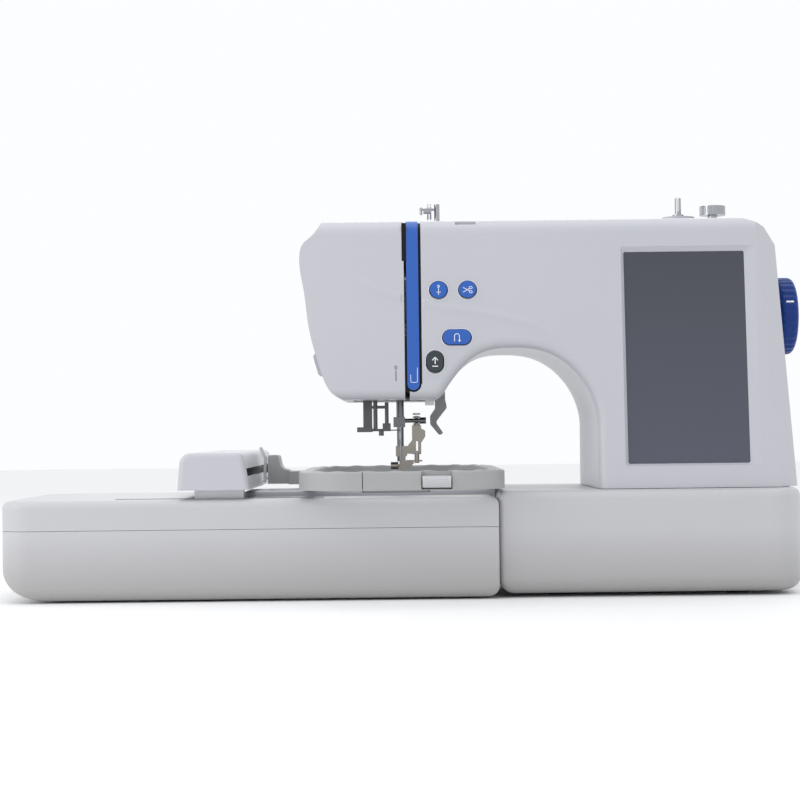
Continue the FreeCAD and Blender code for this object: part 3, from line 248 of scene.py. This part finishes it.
# %% Plastic finishes
def shade(colour, factor):
    """A colour made lighter or darker, with full opacity."""
    return tuple(min(1.0, channel * factor) for channel in colour) + (1.0,)


FLOOR_SHADE_LOW = 0.010  # below this height, in metres, a plastic with painted floor shade has its darkest colour
FLOOR_SHADE_HIGH = 0.052  # above this height it has its full colour, free of painted shade


def moulded(name, colour, roughness, grain, coat=0.0, spread=0.03, shine=0.5, floor_shade=None):
    """Moulded plastic: slow colour drift, uneven gloss and fine grain; the last argument is a painted shade
    colour near the floor.
    """
    finish = Finish(name, Roughness=roughness, Coat_Weight=coat, Coat_Roughness=0.12,
                    Specular_IOR_Level=shine)
    finish.surface.inputs["IOR"].default_value = 1.49
    drift = finish.noise(9.0, 3.0)
    speckle = finish.noise(420.0, 2.0)
    base = finish.blend(0.75 * drift + 0.25 * speckle, shade(colour, 1 - spread), shade(colour, 1 + spread))
    # Painted shade: below the given heights the colour blends to a darker one, standing in for shade near the
    # floor.
    if floor_shade:
        height = finish.node("ShaderNodeSeparateXYZ", {}, {"Vector": finish.place})["Z"]
        climb = finish.node("ShaderNodeMapRange", {}, {
            "Value": height, "From Min": FLOOR_SHADE_LOW, "From Max": FLOOR_SHADE_HIGH})
        base = finish.blend(climb["Result"], shade(floor_shade, 1.0), base)
    finish.feed(Base_Color=base)
    finish.feed(Roughness=roughness - 0.05 + 0.10 * finish.noise(26.0, 4.0))
    finish.feed(Normal=finish.raise_surface(finish.noise(1500.0, 2.0), grain))
    return finish.material


SHELL = (0.485, 0.488, 0.53)
white_shell = moulded("white_shell", SHELL, 0.36, 0.00002, coat=0.1)
# The unit's finish carries painted shade: its colour is darker near the floor.
white_unit = moulded("white_unit", (0.50, 0.50, 0.52), 0.42, 0.00003, coat=0.05, floor_shade=(0.37, 0.365, 0.365))
blue_gloss = moulded("blue_gloss", (0.012, 0.095, 0.42), 0.30, 0.00002, coat=0.1, spread=0.06)
blue_wheel = moulded("blue_wheel", (0.004, 0.035, 0.20), 0.36, 0.00004, spread=0.10, shine=0.25)
outline_blue = moulded("outline_blue", (0.02, 0.03, 0.09), 0.45, 0.00001)
hoop_plastic = moulded("hoop_plastic", (0.355, 0.36, 0.36), 0.42, 0.00006)
# This white serves the printed signs and also the painted highlight on the wheel's rim.
print_and_highlight_white = moulded("print_and_highlight_white", (0.86, 0.87, 0.88), 0.5, 0.00001)
grey_plastic = moulded("grey_plastic", (0.33, 0.33, 0.335), 0.42, 0.00005)
threader_grey = moulded("threader_grey", (0.11, 0.115, 0.118), 0.38, 0.00005, spread=0.12)
black_satin = moulded("black_satin", (0.006, 0.006, 0.007), 0.45, 0.00004, spread=0.2, shine=0.2)
dark_start = moulded("dark_start", (0.022, 0.034, 0.043), 0.30, 0.00001, spread=0.15)
frosted = moulded("frosted", (0.80, 0.81, 0.80), 0.5, 0.00005)
print("plastics made; the shell's colour is", SHELL)

# %% [markdown]
# ## Metal, glass and rubber
# The bars and the clamp are turned steel, so their gloss shows marks that run round them, and the foot is a
# warmer plated metal. The screen is glass over a dark display, and the belts are matt rubber. One function
# makes all the metals, because they differ only in colour, gloss and how fine their marks are.

# %% Metal, glass and rubber finishes
def metal(name, colour, roughness, streak, coarse=220.0):
    """Metal: fine turning or brushing marks in the gloss, and a faint tarnish."""
    finish = Finish(name, Metallic=1.0, Roughness=roughness)
    turned = finish.node("ShaderNodeMapping", {}, {
        "Vector": finish.place, "Scale": (1.0, 1.0, streak)})["Vector"]
    marks = finish.noise(coarse, 3.0, 0.6, turned)
    tarnish = finish.noise(40.0, 4.0)
    finish.feed(Base_Color=finish.blend(tarnish, shade(colour, 0.88), shade(colour, 1.06)))
    finish.feed(Roughness=roughness - 0.05 + 0.12 * marks)
    finish.feed(Normal=finish.raise_surface(marks, 0.00002))
    return finish.material


chrome = metal("chrome", (0.40, 0.41, 0.43), 0.18, 6.0)
dark_steel = metal("dark_steel", (0.17, 0.175, 0.185), 0.22, 12.0)
warm_nickel = metal("warm_nickel", (0.33, 0.31, 0.275), 0.30, 4.0)
ground_steel = metal("ground_steel", (0.56, 0.57, 0.59), 0.32, 12.0)
cast_alloy = metal("cast_alloy", (0.52, 0.53, 0.54), 0.5, 1.0, 600.0)


def rubber_finish():
    """Matt rubber with a bloom of dust."""
    finish = Finish("rubber", Roughness=0.85)
    bloom = finish.noise(160.0, 5.0, 0.6)
    finish.feed(Base_Color=finish.blend(bloom, (0.012, 0.012, 0.012, 1), (0.05, 0.05, 0.05, 1)))
    finish.feed(Normal=finish.raise_surface(finish.noise(900.0, 2.0), 0.00008))
    return finish.material


def screen_finish():
    """Dark display glass: its colour lightens slowly downwards as a painted reflection, under a polished
    front.
    """
    finish = Finish("screen_glass", Roughness=0.08, Coat_Weight=0.3, Coat_Roughness=0.03)
    low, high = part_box("lcd_touch_panel")
    height = finish.node("ShaderNodeSeparateXYZ", {}, {"Vector": finish.place})["Z"]
    rise = (height - low[2]) * (1.0 / (high[2] - low[2]))
    smear = finish.noise(14.0, 4.0)
    # Painted reflection: the glass colour is lighter low down and darker high up.
    finish.feed(Base_Color=finish.blend(
        rise + 0.12 * smear, (0.062, 0.070, 0.100, 1), (0.038, 0.042, 0.058, 1)))
    finish.feed(Roughness=0.05 + 0.10 * smear)
    return finish.material


def circuit_finish():
    """Green solder resist with lighter tracks."""
    finish = Finish("circuit_board", Roughness=0.35)
    tracks = finish.node("ShaderNodeTexBrick", {}, {
        "Vector": finish.place, "Scale": 60.0, "Mortar Size": 0.06})["Fac"]
    finish.feed(Base_Color=finish.blend(tracks, (0.01, 0.10, 0.04, 1), (0.05, 0.28, 0.10, 1)))
    return finish.material


rubber = rubber_finish()
screen_glass = screen_finish()
circuit_board = circuit_finish()
print(len(bpy.data.materials), "finishes so far")

# %% [markdown]
# ## Giving each part its finish
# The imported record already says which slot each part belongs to. One table turns slots into finishes, so
# that a part can't be forgotten.

# %% Assign finishes
FINISH_OF_SLOT = {
    "shell_white": white_shell, "unit_white": white_unit, "blue_plastic": blue_gloss,
    "black_plastic": black_satin, "dark_start": dark_start, "hoop_grey": hoop_plastic,
    "grey_plastic": grey_plastic, "screen_glass": screen_glass, "chrome": chrome,
    "steel": ground_steel, "cast_alloy": cast_alloy, "rubber": rubber, "belt_rubber": rubber,
    "circuit": circuit_board, "lamp": frosted,
}
# The base housing takes the unit's finish, and with it the painted shade near the floor.
FINISH_OF_NODE = {
    "needle_bar": dark_steel, "presser_bar": dark_steel, "needle_clamp": dark_steel,
    "embroidery_foot": warm_nickel, "needle_threader": threader_grey, "base_housing": white_unit,
    "hoop_screw": white_unit, "side_thread_cutter": white_shell,
}
for part in frame["record"]["subparts"]:
    finish = FINISH_OF_NODE.get(part["node"], FINISH_OF_SLOT[part["material_slot"]])
    for socket in NODES[part["node"]].material_slots:
        socket.material = finish
print("finishes on", len(NODES), "nodes")

floor_finish = Finish("pale_floor", Roughness=0.7)
floor_finish.feed(Base_Color=floor_finish.blend(
    floor_finish.noise(3.0), (0.88, 0.88, 0.885, 1), (0.91, 0.91, 0.915, 1)))
floor_mesh.materials.append(floor_finish.material)

# %% [markdown]
# ## From arrays to meshes
# Every new piece is a grid of points worked out by numpy. One helper turns grids into a closed mesh: it
# joins each point to its neighbours, merges the points that meet at seams and poles, fills open ends and
# turns the faces outwards. A plain list of quads would do too, but then every piece would repeat this work.

# %% Mesh helpers
SAME_POINT = 1e-7


def grid_faces(rows, columns, wrap_rows, wrap_columns):
    """Quads of a grid: each joins a point to its next in both directions, round the wrap where asked."""
    row = np.arange(rows if wrap_rows else rows - 1)[:, None]
    column = np.arange(columns if wrap_columns else columns - 1)[None, :]
    next_row = (row + 1) % rows
    next_column = (column + 1) % columns
    corners = (row * columns + column, next_row * columns + column,
               next_row * columns + next_column, row * columns + next_column)
    shape = (row.size, column.size)
    return np.stack([np.broadcast_to(corner, shape).ravel() for corner in corners], axis=1)


def make_piece(name, patches, finish, body, soft_angle=40.0):
    """Closed mesh from patches of (points, wrap_rows, wrap_columns), riding on a body."""
    points, faces, start = [], [], 0
    for grid, wrap_rows, wrap_columns in patches:
        rows, columns = grid.shape[:2]
        points.append(grid.reshape(-1, 3))
        faces.append(grid_faces(rows, columns, wrap_rows, wrap_columns) + start)
        start += rows * columns
    mesh = bpy.data.meshes.new(name)
    mesh.from_pydata(np.concatenate(points).tolist(), [], np.concatenate(faces).tolist())
    shape = bmesh.new()
    shape.from_mesh(mesh)
    bmesh.ops.remove_doubles(shape, verts=shape.verts, dist=SAME_POINT)
    bmesh.ops.holes_fill(shape, edges=[edge for edge in shape.edges if edge.is_boundary], sides=0)
    bmesh.ops.recalc_face_normals(shape, faces=shape.faces)
    shape.to_mesh(mesh)
    shape.free()
    mesh.polygons.foreach_set("use_smooth", np.ones(len(mesh.polygons), dtype=bool))
    mesh.set_sharp_from_angle(angle=math.radians(soft_angle))
    piece = bpy.data.objects.new(name, mesh)
    bpy.context.scene.collection.objects.link(piece)
    mesh.materials.append(finish)
    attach(piece, body)
    print(name, len(mesh.polygons), "faces")
    return piece


# %% [markdown]
# ## The leaning front
# The front of the casing is a plane that leans back a little. Printed marks, rings and icons lie on it, so
# its place and lean are measured on the frame's own cover with two rays.

# %% Front plane
cover_tree = BVHTree.FromObject(NODES["front_cover"], bpy.context.evaluated_depsgraph_get())


def front_of_cover(x, z):
    """Place of the cover's front surface, met by a ray that comes from in front."""
    start = spot(x, -400, z)
    return cover_tree.ray_cast(start, Vector((0, 1, 0)))[0]


face_low = front_of_cover(130, 215)
face_high = front_of_cover(130, 265)
face_up = (face_high - face_low).normalized()
face_out = Vector((0, -face_up.z, face_up.y))
LEAN_STEP = face_up.y / face_up.z
print("the front leans", round(math.degrees(math.atan(LEAN_STEP)), 2), "degrees")


def on_face(x, z, proud):
    """World points of arrays in millimetres: x across, z above the floor, proud out of the front plane."""
    x, z, proud = np.broadcast_arrays(*(np.asarray(value, dtype=float) for value in (x, z, proud)))
    world = np.empty(x.shape + (3,))
    world[..., 0] = needle_axis.x + (x - BAR_SIDE) * MM
    world[..., 1] = face_low.y + (z * MM - face_low.z) * LEAN_STEP + proud * MM * face_out.y
    world[..., 2] = z * MM + proud * MM * face_out.z
    return world


# %% [markdown]
# ## Style ridge
# A soft ridge sweeps down across the front and dies away at both ends. It could be a bump in the material,
# but an edge that catches light should be real. It is a thin swell laid on the cover: a height over
# distance from the ridge line, times a fade along the line. It is kept narrow, so that the buttons beside
# it can be pressed.

# %% Style ridge
CLIMB = 4.5  # millimetres over which the ridge rises above its line
FALL = 6.0  # millimetres over which it falls below the line
RIDGE_TALL = 0.95


def ridge_patch(name, knots, x_from, x_to, fade_from, fade_to, tall):
    """Swell along a line: height = tall * fade(x) * section(distance), the line being a smooth curve of x.

    The section climbs as a half wave above the line and falls as a smooth step below it.
    """
    x = np.linspace(x_from, x_to, 120)
    line = np.polyval(np.polyfit([knot[0] for knot in knots], [knot[1] for knot in knots], 3), x)
    below = np.concatenate([np.linspace(-CLIMB, -0.3, 14), np.linspace(0.0, FALL, 16)])
    climb = np.clip((below + CLIMB) / CLIMB, 0, 1)
    fall = np.clip(below / FALL, 0, 1)
    section = np.where(below < 0, 0.5 - 0.5 * np.cos(np.pi * climb), 1 - fall * fall * (3 - 2 * fall))
    fade = np.interp(x, [x_from, fade_from, fade_to, x_to], [0, 1, 1, 0])
    height = tall * (fade * fade * (3 - 2 * fade))[:, None] * section[None, :]
    z = line[:, None] - below[None, :]
    top = on_face(x[:, None], z, height + 0.02)
    under = on_face(x[:, None], z, -0.5)[:, ::-1]
    patch = np.concatenate([top, under], axis=1)
    return make_piece(name, [(patch, False, True)], white_shell, "machine", 20.0)


RIDGE_LINE = [(-37, 252), (3, 232), (46, 222.6), (88, 215), (116, 204)]
ridge_patch("front_ridge", RIDGE_LINE, 17.6, 142, 17.8, 90, RIDGE_TALL)
ridge_patch("face_ridge", RIDGE_LINE, -46, 1.2, -10, 1.0, RIDGE_TALL)

# %% [markdown]
# ## Rings and icons on the buttons
# Each button has a dark outline and a thin white ring round it, and a simple white icon on its cap. A
# printed line is a flat bar carried along a path; flat text would be shorter, but these signs are drawings,
# not letters.

# %% Rings and strokes
def rounded_path(half_x, half_z, corner, count):
    """Closed rounded rectangle, resampled evenly: four quarter circles joined by straights."""
    turn = np.linspace(0, np.pi / 2, 16)
    quarters = []
    for quarter, (side_x, side_z) in enumerate(((1, 1), (-1, 1), (-1, -1), (1, -1))):
        angle = turn + quarter * np.pi / 2
        quarters.append(np.stack([side_x * (half_x - corner) + corner * np.cos(angle),
                                  side_z * (half_z - corner) + corner * np.sin(angle)], axis=1))
    loop = np.concatenate(quarters)
    loop = np.concatenate([loop, loop[:1]])
    length = np.concatenate([[0], np.cumsum(np.linalg.norm(np.diff(loop, axis=0), axis=1))])
    steps = np.linspace(0, length[-1], count, endpoint=False)
    return np.stack([np.interp(steps, length, loop[:, axis]) for axis in (0, 1)], axis=1)


def outward(path):
    """Unit normals of a closed path that runs anticlockwise: the tangent turned right."""
    tangent = np.roll(path, -1, axis=0) - np.roll(path, 1, axis=0)
    tangent /= np.linalg.norm(tangent, axis=1)[:, None]
    return np.stack([tangent[:, 1], -tangent[:, 0]], axis=1)


def ring_on_face(x, z, half_x, half_z, wide, low, high):
    """Flat ring: the four corners of a small rectangle carried round a rounded path on the front."""
    path = rounded_path(half_x, half_z, min(half_x, half_z) - 0.001, 96)
    normal = outward(path)
    across = np.array([0, wide, wide, 0])
    proud = np.array([low, low, high, high])
    ring = path[:, None, :] + normal[:, None, :] * across[None, :, None]
    return on_face(x + ring[..., 0], z + ring[..., 1], proud[None, :]), True, True


def stroke_on_face(x, z, points, wide, low, high):
    """Flat bar carried along an open path of (x, z) points: each point gives a left and a right edge."""
    path = np.asarray(points, dtype=float)
    tangent = np.gradient(path, axis=0)
    tangent /= np.linalg.norm(tangent, axis=1)[:, None]
    side = np.stack([tangent[:, 1], -tangent[:, 0]], axis=1)
    across = np.array([-0.5, 0.5, 0.5, -0.5]) * wide
    proud = np.array([low, low, high, high])
    bar = path[:, None, :] + side[:, None, :] * across[None, :, None]
    return on_face(x + bar[..., 0], z + bar[..., 1], proud[None, :]), False, True


def arc(x, z, radius_x, radius_z, start, stop, count=24):
    """Points of an elliptic arc between two angles in degrees."""
    angle = np.radians(np.linspace(start, stop, count))
    return np.stack([x + radius_x * np.cos(angle), z + radius_z * np.sin(angle)], axis=1)


def button_spot(node):
    """Middle and half sizes of a button's cap, in millimetres on the front."""
    low, high = (Vector(corner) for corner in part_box(node))
    flange = 1.4
    centre = (low + high) / 2
    x = (centre.x - needle_axis.x) / MM + BAR_SIDE
    half_x = (high.x - low.x) / 2 / MM - flange
    half_z = (high.z - low.z) / 2 / MM - flange
    return x, centre.z / MM, half_x, half_z


# %% [markdown]
# ## The signs themselves
# Every sign is a few strokes in millimetres about its button's middle, and rides on the button's own body,
# so that it goes in with the button when that is pressed. The rings stay on the cover.

# %% Button icons
CAP_PROUD = 1.38
INK = 0.14
BUTTONS = {
    "needle_position_button": ("needle_button", 0.42, [
        [(0, -3.8), (0, 2.0)], arc(0, 2.9, 0.7, 0.9, -90, 270), [(-1.7, -1.6), (1.7, -1.6)]]),
    "thread_cutter_button": ("cutter_button", 0.4, [
        [(-3.6, 1.9), (1.3, -0.9)], [(-3.6, -1.9), (1.3, 0.9)],
        arc(2.4, 1.6, 1.2, 0.9, 0, 360), arc(2.4, -1.6, 1.2, 0.9, 0, 360)]),
    "reverse_button": ("reverse", 0.5, [
        np.concatenate([[(-1.9, -3.0)], arc(0, 0.9, 1.9, 2.0, 180, 0), [(1.9, -3.0)]]),
        [(1.0, -2.0), (1.9, -3.2), (2.8, -2.0)]]),
    "start_stop_button": ("start_stop", 0.7, [
        [(0, -1.6), (0, 3.4)], [(-2.2, 1.2), (0, 3.6), (2.2, 1.2)], [(-2.2, -3.4), (2.2, -3.4)]]),
}
rings, outlines = [], []
for node, (body, wide, strokes) in BUTTONS.items():
    x, z, half_x, half_z = button_spot(node)
    rings.append(ring_on_face(x, z, half_x + 0.85, half_z + 0.85, 0.35, -0.2, 0.16))
    outlines.append(ring_on_face(x, z, half_x + 0.45, half_z + 0.45, 0.4, -0.2, 0.10))
    marks = [stroke_on_face(x, z, stroke, wide, CAP_PROUD - 0.3, CAP_PROUD + INK) for stroke in strokes]
    make_piece(node.replace("_button", "_icon"), marks, print_and_highlight_white, body)
make_piece("button_rings", rings, print_and_highlight_white, "machine")
make_piece("button_outlines", outlines, outline_blue, "machine")

# %% [markdown]
# ## Marks beside the thread path
# The blue strip has a black window at its upper left, where the thread drops in, and two printed signs: a
# white U for the turn at its foot and a short black line with a loop for the thread's path. They are
# printed on the real machine, so they are bars a tenth of a millimetre proud.

# %% Thread path marks
window = stroke_on_face(3.6, 0, [(0, 261.0), (0, 291.0)], 3.6, -0.2, 0.12)
make_piece("strip_window", [window], black_satin, "machine", 20.0)
u_path = np.concatenate([[(-2.6, 172.0)], arc(-1.4, 167.4, 1.2, 1.4, 180, 270, 8),
                         arc(1.4, 167.4, 1.2, 1.4, 270, 360, 8), [(2.6, 177.5)]])
make_piece("strip_sign", [stroke_on_face(10.4, 0, u_path, 0.35, -0.2, 0.12)], print_and_highlight_white, "machine")
path_sign = [stroke_on_face(-3.6, 0, [(0, 167.2), (0, 175.2)], 0.5, -0.2, 0.12),
             stroke_on_face(-3.6, 0, arc(0.0, 177.6, 0.8, 1.3, 0, 360), 0.35, -0.2, 0.12)]
make_piece("path_sign", path_sign, black_satin, "machine")

# %% [markdown]
# ## Handwheel
# The wheel is turned with the fingertips, so its rim carries a ring of shallow grip flutes between two
# smooth edges. It is a lathe surface about the shaft whose radius dips in step with the angle; a bevelled
# cylinder with cut grooves would need many booleans.

# %% Handwheel
FLUTES = 30
FLUTE_DEPTH = 0.8
RIM_RUN = [0, 0, 0.6, 1.6, 3.2, 5.0, 8.0, 11.0, 12.8, 14.4, 15.4, 15.8, 15.4, 14.2, 14.0, 14.0]
RIM_RADIUS = [0, 24.5, 27.2, 29.2, 30.8, 31.3, 31.3, 31.3, 30.8, 29.4, 27.0, 24.0, 21.0, 19.0, 10.0, 0]


def handwheel_surface():
    """Lathe about the shaft: radius = profile(run) - flute depth * flute(angle), near the rim only.

    The flute is a squared half cosine of the angle times the number of flutes, and its mask rises evenly with
    the radius.
    """
    low, high = (np.array(corner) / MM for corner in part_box("handwheel"))
    hub = (low + high) / 2
    step = np.linspace(0, len(RIM_RUN) - 1, 90)
    run, radius = (np.interp(step, np.arange(len(RIM_RUN)), values) for values in (RIM_RUN, RIM_RADIUS))
    angle = np.linspace(0, 2 * np.pi, 360, endpoint=False)
    mask = np.clip((radius - 30.2) / 0.9, 0, 1)
    flute = (0.5 - 0.5 * np.cos(FLUTES * angle)) ** 2
    reach = radius[:, None] - FLUTE_DEPTH * mask[:, None] * flute[None, :]
    surface = np.empty(reach.shape + (3,))
    surface[..., 0] = low[0] + run[:, None]
    surface[..., 1] = hub[1] + reach * np.cos(angle)
    surface[..., 2] = hub[2] + reach * np.sin(angle)
    return surface * MM


handwheel = make_piece("handwheel_rim", [(handwheel_surface(), False, True)], blue_wheel, "main_drive",
                       50.0)
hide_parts("handwheel")

# %% [markdown]
# ## Painted highlight on the rim
# A short white bar on the rim's upper front is a painted highlight, where the overhead light's reflection
# falls. It could be painted into the wheel's material, but a small bar of its own rides on the same body and
# turns with it just as well.

# %% Painted highlight on the wheel
def rim_highlight_bar():
    """Painted highlight on the rim: a ring sector of 2.4 degrees, carried 6 mm along the shaft."""
    low, high = (np.array(corner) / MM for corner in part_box("handwheel"))
    hub = (low + high) / 2
    angle = np.radians(np.array([17.4, 17.4, 19.8, 19.8]))
    reach = np.array([30.4, 31.28, 31.28, 30.4])
    run = low[0] + np.array([5.0, 11.0])
    bar = np.empty((2, 4, 3))
    bar[..., 0] = run[:, None]
    bar[..., 1] = (hub[1] - reach * np.cos(angle))[None, :]
    bar[..., 2] = (hub[2] + reach * np.sin(angle))[None, :]
    return bar * MM


# A white bar painted where the rim's highlight falls.
make_piece("wheel_painted_highlight", [(rim_highlight_bar(), False, True)], print_and_highlight_white, "main_drive", 20.0)

# %% [markdown]
# ## Vents and screws on the back
# Machines of this kind have slots that let warm air out, and screws that hold the rear cover, so both are
# assumed here. They are thin dark pieces laid on the cover, because cutting them would change the frame's
# own solid. The black of the vent pads is painted shade, standing for the dark inside of the slots.

# %% Back details
back_tree = BVHTree.FromObject(NODES["rear_cover"], bpy.context.evaluated_depsgraph_get())


def back_of_cover(x, z):
    """Place of the rear cover's outer surface, met by a ray that comes from behind."""
    return back_tree.ray_cast(spot(x, 400, z), Vector((0, -1, 0)))[0]


def back_disc(x, z, half_x, half_z, corner):
    """Flat pad on the back: its outline carried out to 0.15 mm, with a pole in the middle of each side."""
    path = rounded_path(half_x, half_z, corner, 48)
    scale = np.array([0.0, 1.0, 1.0, 0.0])
    proud = np.array([0.15, 0.15, -0.3, -0.3])
    low, high = back_of_cover(x, z - half_z), back_of_cover(x, z + half_z)
    lean = (high.y - low.y) / (high.z - low.z)
    pad = np.empty((len(path), 4, 3))
    up = z + path[:, None, 1] * scale[None, :]
    pad[..., 0] = needle_axis.x + (x - BAR_SIDE + path[:, None, 0] * scale[None, :]) * MM
    pad[..., 1] = low.y + (up * MM - low.z) * lean + proud[None, :] * MM
    pad[..., 2] = up * MM
    return pad, True, False


VENT_X = 232
VENT_TOP = 232
VENT_STEP = 6.5
VENT_ROWS = 6
# Painted shade: black pads where the dark insides of the vent slots would show.
vents = [back_disc(VENT_X, VENT_TOP - VENT_STEP * row, 24, 1.3, 1.29) for row in range(VENT_ROWS)]
make_piece("rear_vents", vents, black_satin, "machine", 30.0)
SCREWS = [(270, 270), (200, 270), (-20, 250), (270, 120)]
screws = [back_disc(x, z, 3.2, 3.2, 3.19) for x, z in SCREWS]
make_piece("rear_screws", screws, dark_steel, "machine", 30.0)

# %% [markdown]
# ## Inner hoop
# The inner hoop grips the fabric with an edge that rises and falls in long waves. Its wall is a small
# rounded section carried round the hoop's outline, with the top of the section lowered by a cosine of the
# length run.

# %% Inner hoop
def hoop_ring(node, corner, wall, drop, waves):
    """Wall round a hoop, with a rounded section: top = box top - drop * (half cosine of the length run)."""
    low, high = (np.array(corner_point) / MM for corner_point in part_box(node))
    centre, half = (low + high) / 2, (high - low) / 2
    path = rounded_path(half[0] - 0.02, half[1] - 0.02, corner, 960)
    normal = outward(path)
    run = np.linspace(0, 1, len(path), endpoint=False)
    top = half[2] - 0.02 - drop * (0.5 - 0.5 * np.cos(2 * np.pi * waves * run))
    turn = np.radians(np.linspace(0, 90, 5))
    soft = 1.1
    out = np.concatenate([-soft + soft * np.cos(turn), -wall + soft - soft * np.sin(turn), [-wall], [0]])
    up = np.concatenate([-soft + soft * np.sin(turn), -soft + soft * np.cos(turn)])
    ring = np.empty((len(path), len(out), 3))
    ring[..., :2] = centre[:2] + path[:, None, :] + normal[:, None, :] * out[None, :, None]
    ring[:, :len(up), 2] = centre[2] + top[:, None] + up[None, :]
    ring[:, len(up):, 2] = centre[2] - half[2] + 0.02
    return make_piece(node + "_wave", [(ring * MM, True, True)], hoop_plastic, "inner_hoop",
                      50.0)


HOOP_CORNER = 37.65
HOOP_WALL = 4.6
WAVE_DROP = 0.9
WAVES = 34
inner_hoop = hoop_ring("hoop_inner_frame", HOOP_CORNER, HOOP_WALL, WAVE_DROP, WAVES)
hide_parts("hoop_inner_frame")
